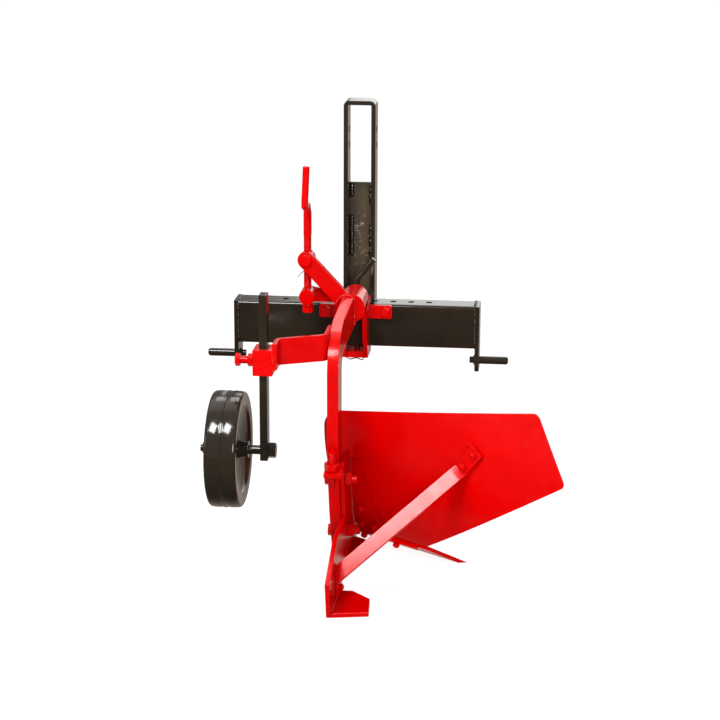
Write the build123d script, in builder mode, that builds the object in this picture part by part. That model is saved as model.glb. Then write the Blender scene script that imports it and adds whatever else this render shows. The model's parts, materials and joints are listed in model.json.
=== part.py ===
from build123d import *

import os
from math import asin, atan2, cos, degrees, hypot, radians, sin, sqrt, tan

# Single furrow plough for a tractor's three-point linkage, in millimetres
# Origin in the middle of the lower link pins' axis, X to the right, Y forwards, Z up
os.makedirs("parts", exist_ok=True)

# Three-point linkage, category 1
hitch_span = 683.0
link_pin_d = 22.0
link_pin_reach = 80.0
top_link_hole_d = 20.0
top_link_rise = 628.0
top_link_step = 44.0

# Headstock
tube_height = 120.0
tube_depth = 80.0
tube_wall = 6.0
tube_inner_corner = 3.0
tube_drop = 40.0
row_hole_d = 18.0
row_hole_pitch = 50.0
row_hole_count = 9
end_plate_t = 12.0
end_plate_foot = 28.0
end_plate_corner = 20.0
link_spigot_d = 18.0
link_stub = 15.0
link_pin_chamfer = 4.0
mast_gap = 64.0
mast_t = 12.0
mast_depth = 70.0
mast_over = 82.0
mast_inner_bend = 3.0
mast_plate_t = 8.0
mast_plate_rise = 315.0

# Offset bracket
slide_gap = 0.4
cheek_gap = 48.0
cheek_t = 12.0
cheek_tail = 65.0
jaw_reach = 28.0
top_jaw_t = 9.0
base_jaw_t = 28.0
tab_reach = 14.0
base_plate_t = 18.0
base_plate_tail = 20.0
ear_t = 10.0
ear_width = 38.0
ear_reach = 65.0
ear_bolt_d = 16.0
ear_bolt_inset = 19.5
locating_pin_d = 16.0
locating_pin_gap = 0.5
locating_pin_collar_d = 28.0
locating_pin_collar_t = 6.0
handle_rise = 52.0
handle_run = 46.0
handle_tip = 57.0
handle_bend = 22.0
clip_wire_d = 3.5
clip_loop = 8.0

# Tilt pivot
pivot_rise = 22.0
pivot_d = 40.0
sleeve_wall = 15.0
sleeve_length = 123.0
sleeve_setback = 5.0
flange_d = 80.0
flange_t = 16.0
pivot_thread_d = 22.0
pivot_washer_d = 46.0
pivot_washer_t = 4.0
tilt_arm_width = 46.0
tilt_arm_t = 15.0

# Levelling screw
screw_offset = 120.0
lower_trunnion_rise = 45.0
trunnion_spacing = 105.0
lower_trunnion_d = 43.0
upper_trunnion_d = 38.0
trunnion_length = 46.0
trunnion_journal_d = 20.0
trunnion_cap_d = 32.0
trunnion_cap_t = 8.0
trunnion_cap_round = 2.5
screw_d = 22.0
screw_journal_d = 16.0
screw_thread_gap = 1.2
screw_height = 212.0
crank_d = 18.5
crank_throw = 60.0
crank_neck = 18.0
crank_grip = 112.0
crank_bend = 14.0
crank_lean = 5.0
crank_round = 4.0
cap_nut_d = 30.0
cap_nut_height = 25.0
cap_nut_grip = 17.0
cap_nut_round = 5.0
split_pin_d = 4.0
split_pin_length = 34.0
split_pin_drop = 38.0
screw_plate_t = 12.0
screw_plate_edge = 22.0

# Beam and leg
beam_t = 30.0
beam_depth = 80.0
beam_right = -3.0
beam_slope_angle = 17.0
beam_root_drop = 9.0
beam_root_set = 14.0
neck_reach = 250.0
neck_bend = 75.0
leg_straight = 113.93
leg_bend = 700.0
leg_sweep_angle = 35.0
leg_bolt_d = 20.0
upper_bolt_drop = 240.0
lower_bolt_drop = 408.0
leg_bolt_show = 15.0

# Depth wheel
wheel_arm_width = 70.0
wheel_arm_t = 12.0
wheel_arm_z = 130.0
wheel_arm_seat = 105.0
wheel_arm_front = 120.0
wheel_arm_angle = 25.0
wheel_arm_bend = 12.0
shank_t = 20.0
shank_width = 40.0
shank_gap = 0.3
shank_offset = 155.0
shank_top = 288.0
shank_length = 440.0
clamp_side = 15.0
clamp_end = 13.0
clamp_height = 68.0
clamp_z = 113.0
clamp_bolt_d = 20.0
clamp_bolt_show = 20.0
axle_d = 24.0
axle_lift = 24.0
axle_end = 5.0
axle_end_d = 18.0
axle_washer_d = 44.0
axle_washer_t = 4.0
wheel_d = 304.0
wheel_width = 82.0
wheel_gap = 44.0
wheel_sheet = 4.0
wheel_corner = 8.0
wheel_dish = 12.0
wheel_bead = 1.5
wheel_bead_width = 7.0
hub_d = 46.0
hub_proud = 8.0

# Plough body
sole_drop = 500.0
landside_t = 12.0
landside_gap = 0.3
landside_rear = 705.0
landside_lean = 30.0
landside_height = 100.0
landside_toe = 30.0
landside_chin = 20.0
landside_knee_back = 565.0
landside_knee_height = 160.0
frog_inset = 9.0
frog_waist_height = 152.0
frog_top_height = 315.0
heel_width = 88.0
heel_t = 12.0
heel_length = 165.0
heel_side = 114.0
heel_front = 38.0
heel_flare = 7.0
heel_rake = 19.0
frog_sole_t = 8.0
frog_sole_lift = 4.0
frog_sole_width = 52.0
frog_sole_front = 125.0
frog_sole_back = 300.0
share_point_back = 20.0
share_slope = 0.74
share_wing_x = 332.0
share_wing_cut = 102.0
share_run = 82.0
share_rise = 50.0
share_t = 10.0
seat_t = 6.0
seat_run = 28.0
seat_length = 185.0
seat_bolt_stations = (0.4, 0.92)
board_t = 7.0
board_joint = 0.6
board_bulge = 50.0
board_high = 510.0
board_high_back = 262.0
board_high_slope = 0.40
board_left_height = 411.0
board_tail_x = 590.0
board_tail_height = 328.0
board_top_x = 516.0
board_top_height = 492.0
board_low_x = 222.0
board_edge_sag = 7.0
board_shin_lean = 60.0
board_shin_sag = 22.0
board_shin_corner = 52.0
board_low_corner = 14.0
board_top_corner = 18.0
saddle_t = 8.0
saddle_gap = 0.2
saddle_top_width = 26.0
saddle_low_width = 100.0
saddle_edge_sag = 12.0
saddle_foot = 16.0
saddle_head = 32.0
body_bolt_d = 12.0
brace_width = 40.0
brace_t = 10.0
brace_foot_back = 585.0
brace_foot_width = 40.0
brace_foot_low = 20.0
brace_foot_height = 64.0
brace_head_x = 346.0
brace_head_height = 349.0
brace_head_length = 74.0
brace_tilt_angle = 40.0
brace_fold = 26.0
brace_bolt_pitch = 46.0

# Pitch setting
pitch_stud_d = 24.0
pitch_tail_d = 12.0
pitch_stud_rise = 59.0
pitch_stud_fall = 47.0
pitch_stud_angle = 10.3
pitch_stud_off = 22.0
stud_block_width = 10.0
stud_block_height = 12.0
lug_t = 12.0
lug_depth = 40.0
lug_front = 9.0
lug_over = 5.0
lug_slot_gap = 0.5
lug_slot_travel = 9.0
pitch_nut_gap = 0.8
pitch_swing_angle = 1.5

# Fits
fit = 0.1
run_gap = 0.05
part_gap = 0.3


def flats(d):
    return 1.5 * d


def head_height(d):
    return 0.63 * d


def nut_height(d):
    return 0.82 * d


def side(x):
    """Plane of constant X: sketch in Y and Z, extrude towards +X."""
    return Plane.YZ.offset(x)


def upright(y):
    """Plane of constant Y: sketch in X and Z, extrude towards -Y."""
    return Plane(origin=(0, y, 0), x_dir=(1, 0, 0), z_dir=(0, -1, 0))


def level(z):
    """Plane of constant Z: sketch in X and Y, extrude towards +Z."""
    return Plane.XY.offset(z)


def slab(x, y, z, mode=Mode.ADD):
    """Block between pairs of X, Y and Z."""
    with BuildSketch(level(z[0])) as base:
        with Locations(((x[0] + x[1]) / 2, (y[0] + y[1]) / 2)):
            Rectangle(x[1] - x[0], y[1] - y[0])
    extrude(base.sketch, amount=z[1] - z[0], mode=mode)


def disc(plane, d, length, bore=0.0, mode=Mode.ADD):
    """Round bar from a plane along its normal, or a ring if it has a bore."""
    with BuildSketch(plane) as base:
        Circle(d / 2)
        if bore:
            Circle(bore / 2, mode=Mode.SUBTRACT)
    extrude(base.sketch, amount=length, mode=mode)


def hexagon(plane, d, height, bore=0.0):
    """Hex head or nut for a thread of diameter d, standing on a plane."""
    with BuildSketch(plane) as base:
        RegularPolygon(flats(d) / 2, 6, major_radius=False)
        if bore:
            Circle(bore / 2, mode=Mode.SUBTRACT)
    extrude(base.sketch, amount=height)


def hex_bolt(plane, d, grip):
    """Bolt whose head stands on the plane and whose shank runs the other way."""
    hexagon(plane, d, head_height(d))
    disc(plane, d, -grip)


def polygon(points):
    """Straight-sided face in the sketch that is open."""
    with BuildLine() as outline:
        Polyline(*points, close=True)
    make_face(outline.edges())


def save(piece, name):
    piece.part.label = name
    export_step(piece.part, f"parts/{name}.step")


# Heights and stations tied to the sizes above
tube_top = tube_drop + tube_height
tube_mid = tube_drop + tube_height / 2
tube_back = -tube_depth / 2
tube_front = tube_depth / 2
plate_inner = hitch_span / 2 - end_plate_t
mast_mid_y = tube_front + mast_depth / 2
mast_half = mast_gap / 2 + mast_t
mast_top = top_link_rise + mast_over
top_link_low = top_link_rise - top_link_step

with BuildPart() as crossbar_tube:
    with BuildSketch(side(-plate_inner)):
        with Locations((0, tube_mid)):
            RectangleRounded(tube_depth, tube_height, tube_inner_corner + tube_wall)
            RectangleRounded(tube_depth - 2 * tube_wall, tube_height - 2 * tube_wall,
                             tube_inner_corner, mode=Mode.SUBTRACT)
    extrude(amount=2 * plate_inner)
    with BuildSketch(level(tube_drop - tube_wall)):
        with GridLocations(row_hole_pitch, 1, row_hole_count, 1):
            Circle(row_hole_d / 2)
    extrude(amount=tube_height + 2 * tube_wall, mode=Mode.SUBTRACT)
save(crossbar_tube, "crossbar_tube")

for hand, sign in (("left", -1), ("right", 1)):
    with BuildPart() as end_plate:
        with BuildSketch(side(sign * plate_inner)) as outline:
            with Locations((0, (tube_top - end_plate_foot) / 2)):
                Rectangle(tube_depth, tube_top + end_plate_foot)
            fillet(outline.vertices().sort_by(Axis.Y)[:2], end_plate_corner)
            Circle(link_spigot_d / 2 + fit, mode=Mode.SUBTRACT)
        extrude(amount=sign * end_plate_t)
    save(end_plate, f"end_plate_{hand}")

    with BuildPart() as link_pin:
        disc(side(sign * hitch_span / 2), link_pin_d, sign * link_pin_reach)
        tip = link_pin.edges().sort_by(Axis.X)[-1 if sign > 0 else 0]
        chamfer(tip, link_pin_chamfer)
        disc(side(sign * hitch_span / 2), link_spigot_d, -sign * (end_plate_t + link_stub))
    save(link_pin, f"lower_link_pin_{hand}")

with BuildPart() as mast_strap:
    with BuildSketch(upright(tube_front + mast_depth)) as hoop:
        with Locations((0, (mast_top + tube_drop) / 2)):
            Rectangle(2 * mast_half, mast_top - tube_drop)
        fillet(hoop.vertices().sort_by(Axis.Y)[-2:], mast_inner_bend + mast_t)
    extrude(amount=mast_depth)
    with BuildSketch(upright(tube_front + mast_depth)) as gap:
        with Locations((0, (mast_top - mast_t + tube_drop) / 2)):
            Rectangle(mast_gap, mast_top - mast_t - tube_drop)
        fillet(gap.vertices().sort_by(Axis.Y)[-2:], mast_inner_bend)
    extrude(amount=mast_depth, mode=Mode.SUBTRACT)
    with BuildSketch(side(-mast_half)):
        with Locations((mast_mid_y, top_link_rise), (mast_mid_y, top_link_low)):
            Circle(top_link_hole_d / 2)
    extrude(amount=2 * mast_half, mode=Mode.SUBTRACT)
save(mast_strap, "mast_strap")

with BuildPart() as mast_plate:
    slab((-mast_gap / 2, mast_gap / 2),
         (tube_front + mast_depth - mast_plate_t, tube_front + mast_depth),
         (tube_drop, tube_top + mast_plate_rise))
save(mast_plate, "mast_plate")

# Offset bracket round the crossbar
pivot_z = tube_top + pivot_rise
sleeve_front = tube_back - sleeve_setback
sleeve_back = sleeve_front - sleeve_length
sleeve_d = pivot_d + 2 * sleeve_wall
cheek_in = cheek_gap / 2
cheek_out = cheek_in + cheek_t
throat_back = tube_back - slide_gap
throat_top = tube_top + slide_gap
throat_low = tube_drop - slide_gap
cheek_back = tube_back - cheek_tail
base_low = throat_low - base_jaw_t
ear_back = throat_back - ear_t

for hand, sign in (("left", -1), ("right", 1)):
    with BuildPart() as cheek:
        with BuildSketch(side(sign * cheek_in)):
            polygon([(cheek_back, tube_top - top_jaw_t),
                     (sleeve_front, throat_top + top_jaw_t),
                     (jaw_reach, throat_top + top_jaw_t),
                     (jaw_reach, throat_top),
                     (throat_back, throat_top),
                     (throat_back, throat_low),
                     (jaw_reach, throat_low),
                     (jaw_reach, base_low),
                     (throat_back - base_plate_tail, base_low),
                     (cheek_back, tube_mid)])
        extrude(amount=sign * cheek_t)
        disc(Plane(origin=(0, sleeve_front, pivot_z), z_dir=(0, -1, 0)),
             sleeve_d + 2 * fit, sleeve_length, mode=Mode.SUBTRACT)
    save(cheek, f"bracket_cheek_{hand}")

    ear_x = cheek_out + ear_reach - ear_bolt_inset
    ear_mid = tube_top - ear_width / 2
    with BuildPart() as ear:
        with BuildSketch(upright(throat_back)):
            with Locations((sign * (cheek_out + ear_reach / 2), ear_mid)):
                RectangleRounded(ear_reach, ear_width, ear_t / 2)
            with Locations((sign * ear_x, ear_mid)):
                Circle(ear_bolt_d / 2 + fit, mode=Mode.SUBTRACT)
        extrude(amount=ear_t)
    save(ear, f"bracket_ear_{hand}")

with BuildPart() as ear_bolts:
    for sign in (-1, 1):
        hex_bolt(Plane(origin=(sign * ear_x, ear_back, ear_mid), z_dir=(0, -1, 0)),
                 ear_bolt_d, ear_t + slide_gap - fit)
save(ear_bolts, "ear_bolts")

pin_hole_d = locating_pin_d + 2 * locating_pin_gap
with BuildPart() as bracket_top_tab:
    slab((-cheek_in, cheek_in), (-tab_reach, jaw_reach), (throat_top, throat_top + top_jaw_t))
    disc(level(throat_top), pin_hole_d, top_jaw_t, mode=Mode.SUBTRACT)
save(bracket_top_tab, "bracket_top_tab")

with BuildPart() as bracket_base_plate:
    slab((-cheek_in, cheek_in), (throat_back - base_plate_tail, jaw_reach),
         (base_low, base_low + base_plate_t))
    disc(level(base_low), pin_hole_d, base_plate_t, mode=Mode.SUBTRACT)
save(bracket_base_plate, "bracket_base_plate")

with BuildPart() as pivot_sleeve:
    disc(Plane(origin=(0, sleeve_front, pivot_z), z_dir=(0, -1, 0)),
         sleeve_d, sleeve_length, bore=pivot_d + 2 * run_gap)
save(pivot_sleeve, "pivot_sleeve")

# Locating pin through the bracket and the crossbar
collar_z = throat_top + top_jaw_t + part_gap
clip_z = base_low - clip_wire_d
pin_foot = clip_z - locating_pin_d / 2
bend_z = collar_z + handle_rise
with BuildPart() as locating_pin:
    with BuildLine() as pin_path:
        FilletPolyline((0, 0, pin_foot), (0, 0, bend_z),
                       (handle_run, 0, bend_z + handle_tip), radius=handle_bend)
    with BuildSketch(level(pin_foot)):
        Circle(locating_pin_d / 2)
    sweep(path=pin_path.line)
    disc(level(collar_z), locating_pin_collar_d, locating_pin_collar_t)
    disc(Plane(origin=(-locating_pin_d, 0, clip_z), z_dir=(1, 0, 0)),
         clip_wire_d + 2 * fit, 2 * locating_pin_d, mode=Mode.SUBTRACT)
save(locating_pin, "locating_pin")

with BuildPart() as pin_clip:
    with BuildLine() as wire:
        inner = Line((locating_pin_d, 0, clip_z), (-locating_pin_d, 0, clip_z))
        bow = ThreePointArc(inner @ 1, (-locating_pin_d - clip_loop, 0, clip_z - clip_loop),
                            (-locating_pin_d, 0, clip_z - 2 * clip_loop))
        Line(bow @ 1, (locating_pin_d / 2, 0, clip_z - 2 * clip_loop))
    with BuildSketch(Plane(origin=inner @ 0, z_dir=inner % 0)):
        Circle(clip_wire_d / 2)
    sweep(path=wire.line)
save(pin_clip, "pin_clip")

# Tilt pivot and beam
flange_front = sleeve_back - part_gap
flange_back = flange_front - flange_t
washer_back = sleeve_front + part_gap
nut_back = washer_back + pivot_washer_t
nut_front = nut_back + nut_height(pivot_thread_d)
backwards = (0, -1, 0)

with BuildPart() as pivot_shaft:
    disc(Plane(origin=(0, flange_front, pivot_z), z_dir=backwards), flange_d, flange_t)
    disc(Plane(origin=(0, sleeve_front, pivot_z), z_dir=backwards), pivot_d,
         sleeve_front - flange_front)
    disc(Plane(origin=(0, nut_front, pivot_z), z_dir=backwards), pivot_thread_d,
         nut_front - sleeve_front)
save(pivot_shaft, "pivot_shaft")

with BuildPart() as pivot_washer:
    disc(Plane(origin=(0, nut_back, pivot_z), z_dir=backwards), pivot_washer_d, pivot_washer_t,
         bore=pivot_thread_d + 2 * fit)
save(pivot_washer, "pivot_washer")

with BuildPart() as pivot_nut:
    hexagon(Plane(origin=(0, nut_front, pivot_z), x_dir=(1, 0, 0), z_dir=backwards),
            pivot_thread_d, nut_front - nut_back, bore=pivot_thread_d + 2 * fit)
save(pivot_nut, "pivot_nut")

beam_left = beam_right - beam_t
half_depth = beam_depth / 2
neck_start = 90 + beam_slope_angle
neck_centre_y = flange_back - neck_reach + half_depth + neck_bend
root_z = pivot_z - beam_root_drop
neck_centre_z = (root_z - neck_bend / cos(radians(beam_slope_angle))
                 + (neck_centre_y - flange_back) * tan(radians(beam_slope_angle)))
leg_top_z = neck_centre_z - leg_straight
leg_centre_y = neck_centre_y - neck_bend + leg_bend


def root_height(offset):
    """Height of the sloping beam at the flange, a distance above its centre line."""
    return root_z + offset / cos(radians(beam_slope_angle))


def leg_point(radius, angle):
    """Point on the leg's lower arc in Y and Z, an angle round from its top."""
    return (leg_centre_y - radius * cos(radians(angle)), leg_top_z - radius * sin(radians(angle)))


def leg_bolt_point(drop):
    """Centre of the leg at a depth below the link pins, in Y and Z."""
    return leg_point(leg_bend, degrees(asin((drop + leg_top_z) / leg_bend)))


def beam_edge(offset):
    """One edge of the goose neck from the flange to the end of the leg."""
    neck = CenterArc((neck_centre_y, neck_centre_z), neck_bend + offset, neck_start, 90 - beam_slope_angle)
    leg = CenterArc((leg_centre_y, leg_top_z), leg_bend + offset, 180, leg_sweep_angle)
    Line((flange_back, root_height(offset)), neck @ 0)
    Line(neck @ 1, leg @ 0)
    return leg @ 1


upper_bolt = leg_bolt_point(upper_bolt_drop)
lower_bolt = leg_bolt_point(lower_bolt_drop)

arm_start_y = flange_back - wheel_arm_front


def root_section(y, sideways):
    """Section of the sloping neck at a station behind the flange, set over sideways."""
    drop = (flange_back - y) * tan(radians(beam_slope_angle))
    with BuildSketch(upright(y)) as section:
        with Locations((beam_left + beam_t / 2 + sideways, root_z - drop)):
            Rectangle(beam_t, beam_depth / cos(radians(beam_slope_angle)))
    return section.sketch.face()


with BuildPart() as beam:
    with BuildSketch(side(beam_left)):
        with BuildLine():
            outer_end = beam_edge(half_depth)
            inner_end = beam_edge(-half_depth)
            Line(outer_end, inner_end)
            Line((flange_back, root_height(half_depth)), (flange_back, root_height(-half_depth)))
        make_face()
        with Locations(upper_bolt, lower_bolt):
            Circle(leg_bolt_d / 2 + fit, mode=Mode.SUBTRACT)
    extrude(amount=beam_t)
    split(bisect_by=upright(arm_start_y), keep=Keep.TOP)
    loft([root_section(arm_start_y, 0), root_section(flange_back, beam_root_set)], ruled=True)
save(beam, "beam")

# Tilt arm, trunnions and levelling screw
lower_z = tube_top + lower_trunnion_rise
upper_z = lower_z + trunnion_spacing
arm_angle = degrees(atan2(upper_z - pivot_z, -screw_offset))
arm_length = hypot(upper_z - pivot_z, screw_offset)
arm_front = flange_back + tilt_arm_t
trunnion_back = arm_front + part_gap
trunnion_front = trunnion_back + trunnion_length
screw_y = (trunnion_back + trunnion_front) / 2
screw_plate_back = trunnion_front + part_gap
screw_plate_front = screw_plate_back + screw_plate_t

with BuildPart() as tilt_arm:
    with BuildSketch(Plane(origin=(0, arm_front, pivot_z), x_dir=(1, 0, 0), z_dir=backwards)):
        with Locations(Location((0, 0), arm_angle)):
            with Locations((arm_length / 2, 0)):
                Rectangle(arm_length, tilt_arm_width)
            with Locations((arm_length, 0)):
                Circle(tilt_arm_width / 2)
                Circle(trunnion_journal_d / 2 + run_gap, mode=Mode.SUBTRACT)
        Circle(flange_d / 2 + fit, mode=Mode.SUBTRACT)
        with Locations((0, -tilt_arm_width)):
            Rectangle(flange_d, tilt_arm_width, mode=Mode.SUBTRACT)
    extrude(amount=tilt_arm_t)
save(tilt_arm, "tilt_arm")

with BuildPart() as screw_plate:
    with BuildSketch(upright(screw_plate_front)):
        with Locations((-screw_offset, lower_z)):
            Circle(screw_plate_edge)
        polygon([(-screw_offset, lower_z + screw_plate_edge),
                 (0, pivot_z + screw_plate_edge),
                 (0, pivot_z),
                 (-screw_offset, lower_z - screw_plate_edge)])
        with Locations((-screw_offset, lower_z)):
            Circle(trunnion_journal_d / 2 + run_gap, mode=Mode.SUBTRACT)
        with Locations((0, pivot_z)):
            Circle(sleeve_d / 2 + fit, mode=Mode.SUBTRACT)
    extrude(amount=screw_plate_t)
save(screw_plate, "screw_plate")

with BuildPart() as lower_trunnion:
    disc(Plane(origin=(-screw_offset, trunnion_front, lower_z), z_dir=backwards),
         lower_trunnion_d, trunnion_length)
    disc(Plane(origin=(-screw_offset, trunnion_front, lower_z), z_dir=(0, 1, 0)),
         trunnion_journal_d, screw_plate_t + 2 * part_gap + nut_height(trunnion_journal_d))
    disc(Plane(origin=(-screw_offset, screw_y, lower_z - lower_trunnion_d)),
         screw_journal_d + 2 * run_gap, 2 * lower_trunnion_d, mode=Mode.SUBTRACT)
save(lower_trunnion, "lower_trunnion")

with BuildPart() as trunnion_nut:
    hexagon(Plane(origin=(-screw_offset, screw_plate_front + part_gap, lower_z), z_dir=(0, 1, 0)),
            trunnion_journal_d, nut_height(trunnion_journal_d), bore=trunnion_journal_d + 2 * fit)
save(trunnion_nut, "trunnion_nut")

with BuildPart() as upper_trunnion:
    disc(Plane(origin=(-screw_offset, trunnion_front, upper_z), z_dir=backwards),
         upper_trunnion_d, trunnion_length)
    disc(Plane(origin=(-screw_offset, trunnion_back, upper_z), z_dir=backwards),
         trunnion_journal_d, tilt_arm_t + 2 * part_gap)
    disc(Plane(origin=(-screw_offset, screw_y, upper_z - upper_trunnion_d)),
         screw_d + 2 * screw_thread_gap, 2 * upper_trunnion_d, mode=Mode.SUBTRACT)
save(upper_trunnion, "upper_trunnion")

with BuildPart() as trunnion_cap:
    disc(Plane(origin=(-screw_offset, flange_back - part_gap, upper_z), z_dir=backwards),
         trunnion_cap_d, trunnion_cap_t)
    fillet(trunnion_cap.edges().sort_by(Axis.Y)[0], trunnion_cap_round)
save(trunnion_cap, "trunnion_cap")

shoulder_z = lower_z + lower_trunnion_d / 2 + part_gap
screw_top = shoulder_z + screw_height
cap_top = lower_z - lower_trunnion_d / 2 - part_gap
split_z = upper_z - split_pin_drop
screw_foot = cap_top - cap_nut_grip

with BuildPart() as screw_rod:
    disc(Plane(origin=(-screw_offset, screw_y, shoulder_z)), screw_d, screw_height)
    disc(Plane(origin=(-screw_offset, screw_y, screw_foot)), screw_journal_d, shoulder_z - screw_foot)
    disc(Plane(origin=(-screw_offset - screw_d, screw_y, split_z), z_dir=(1, 0, 0)),
         split_pin_d + 2 * fit, 2 * screw_d, mode=Mode.SUBTRACT)
save(screw_rod, "screw_rod")

with BuildPart() as screw_cap_nut:
    disc(Plane(origin=(-screw_offset, screw_y, cap_top - cap_nut_height)), cap_nut_d, cap_nut_height)
    fillet(screw_cap_nut.edges().sort_by(Axis.Z)[0], cap_nut_round)
    disc(Plane(origin=(-screw_offset, screw_y, screw_foot - fit)),
         screw_journal_d + 2 * fit, cap_nut_height, mode=Mode.SUBTRACT)
save(screw_cap_nut, "screw_cap_nut")

with BuildPart() as split_pin:
    disc(Plane(origin=(-screw_offset - split_pin_length / 2, screw_y, split_z), z_dir=(1, 0, 0)),
         split_pin_d, split_pin_length)
save(split_pin, "split_pin")

with BuildPart() as crank_handle:
    with BuildLine() as crank_path:
        FilletPolyline((-screw_offset, screw_y, screw_top),
                       (-screw_offset, screw_y, screw_top + crank_neck),
                       (-screw_offset, screw_y - crank_throw, screw_top + crank_neck),
                       (crank_lean - screw_offset, screw_y - crank_throw, screw_top + crank_neck + crank_grip),
                       radius=crank_bend)
    with BuildSketch(level(screw_top)):
        with Locations((-screw_offset, screw_y)):
            Circle(crank_d / 2)
    sweep(path=crank_path.line)
    fillet(crank_handle.edges().sort_by(Axis.Z)[-1], crank_round)
save(crank_handle, "crank_handle")

# Depth wheel arm and clamp
clamp_depth = shank_width + 2 * (shank_gap + clamp_end)
shank_x = beam_left - shank_offset
clamp_right = shank_x + shank_t / 2 + shank_gap + clamp_side
clamp_left = shank_x - shank_t / 2 - shank_gap - clamp_side
arm_root_x = beam_left - wheel_arm_t / 2
arm_end_x = clamp_right + wheel_arm_t / 2
arm_bend_y = arm_start_y - wheel_arm_seat
arm_turn_y = arm_bend_y - (arm_root_x - arm_end_x) * tan(radians(wheel_arm_angle))
shank_y = arm_turn_y - clamp_depth / 2 + wheel_arm_t / 2


def bar_outline(points, t):
    """Outline in plan of a flat bar of thickness t bent along a line of points."""
    line = [Vector(*point) for point in points]
    runs = [(end - start).normalized() for start, end in zip(line, line[1:])]
    across = [Vector(-way.Y, way.X) for way in runs]
    mitres = [(one + two) / (1 + one.dot(two)) for one, two in zip(across, across[1:])]
    offsets = [across[0], *mitres, across[-1]]
    left = [point + offset * (t / 2) for point, offset in zip(line, offsets)]
    right = [point - offset * (t / 2) for point, offset in zip(line, offsets)]
    return left + right[::-1]


arm_line = [(arm_root_x, arm_start_y), (arm_root_x, arm_bend_y),
            (arm_end_x, arm_turn_y), (arm_end_x, shank_y - clamp_depth / 2)]
arm_outline = bar_outline(arm_line, wheel_arm_t)
with BuildPart() as wheel_arm:
    with BuildSketch(level(wheel_arm_z - wheel_arm_width / 2)) as arm_plan:
        polygon(arm_outline)
        corners = arm_plan.vertices()
        inside = [corners.sort_by_distance(arm_outline[index])[0] for index in (6, 2)]
        outside = [corners.sort_by_distance(arm_outline[index])[0] for index in (1, 5)]
        fillet(inside, wheel_arm_bend)
        outside = [arm_plan.vertices().sort_by_distance(corner)[0] for corner in outside]
        fillet(outside, wheel_arm_bend + wheel_arm_t)
    extrude(amount=wheel_arm_width)
save(wheel_arm, "wheel_arm")

with BuildPart() as clamp_box:
    with BuildSketch(level(clamp_z - clamp_height / 2)):
        with Locations((shank_x, shank_y)):
            Rectangle(clamp_right - clamp_left, clamp_depth)
            Rectangle(shank_t + 2 * shank_gap, shank_width + 2 * shank_gap, mode=Mode.SUBTRACT)
    extrude(amount=clamp_height)
    disc(Plane(origin=(clamp_left, shank_y, clamp_z), z_dir=(1, 0, 0)),
         clamp_bolt_d + 2 * run_gap, clamp_side, mode=Mode.SUBTRACT)
save(clamp_box, "clamp_box")

jam_height = nut_height(clamp_bolt_d)
with BuildPart() as clamp_jam_nut:
    hexagon(Plane(origin=(clamp_left, shank_y, clamp_z), z_dir=(-1, 0, 0)),
            clamp_bolt_d, jam_height, bore=clamp_bolt_d + 2 * run_gap)
save(clamp_jam_nut, "clamp_jam_nut")

with BuildPart() as clamp_bolt:
    hex_bolt(Plane(origin=(clamp_left - jam_height - clamp_bolt_show, shank_y, clamp_z), z_dir=(-1, 0, 0)),
             clamp_bolt_d, clamp_bolt_show + jam_height + clamp_side)
save(clamp_bolt, "clamp_bolt")

# Depth wheel
shank_low = shank_top - shank_length
axle_z = shank_low + axle_lift
wheel_right = shank_x - shank_t / 2 - wheel_gap
wheel_left = wheel_right - wheel_width
wheel_mid = (wheel_left + wheel_right) / 2
hub_right = wheel_right + hub_proud
hub_left = wheel_left - hub_proud
washer_out = hub_left - part_gap - axle_washer_t
leftwards = (-1, 0, 0)

with BuildPart() as wheel_shank:
    with BuildSketch(level(shank_low)):
        with Locations((shank_x, shank_y)):
            Rectangle(shank_t, shank_width)
    extrude(amount=shank_length)
    disc(Plane(origin=(shank_x - shank_t, shank_y, axle_z), z_dir=(1, 0, 0)),
         axle_d + 2 * fit, 2 * shank_t, mode=Mode.SUBTRACT)
save(wheel_shank, "wheel_shank")

axle_right = shank_x + shank_t / 2 + nut_height(axle_d)
axle_left = washer_out - nut_height(axle_end_d) - axle_end
axle_shoulder = hub_left - part_gap
with BuildPart() as wheel_axle:
    disc(Plane(origin=(axle_right, shank_y, axle_z), z_dir=leftwards), axle_d, axle_right - axle_shoulder)
    disc(Plane(origin=(axle_right, shank_y, axle_z), z_dir=leftwards), axle_end_d, axle_right - axle_left)
save(wheel_axle, "wheel_axle")

with BuildPart() as axle_nuts:
    for start, way, d in ((shank_x + shank_t / 2, 1, axle_d), (washer_out, -1, axle_end_d)):
        hexagon(Plane(origin=(start, shank_y, axle_z), z_dir=(way, 0, 0)), d, nut_height(d), bore=d + 2 * fit)
save(axle_nuts, "axle_nuts")

with BuildPart() as axle_washers:
    for start, d in ((hub_right + part_gap + axle_washer_t, axle_d), (axle_shoulder, axle_end_d)):
        disc(Plane(origin=(start, shank_y, axle_z), z_dir=leftwards),
             axle_washer_d, axle_washer_t, bore=d + 2 * fit)
save(axle_washers, "axle_washers")

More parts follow.
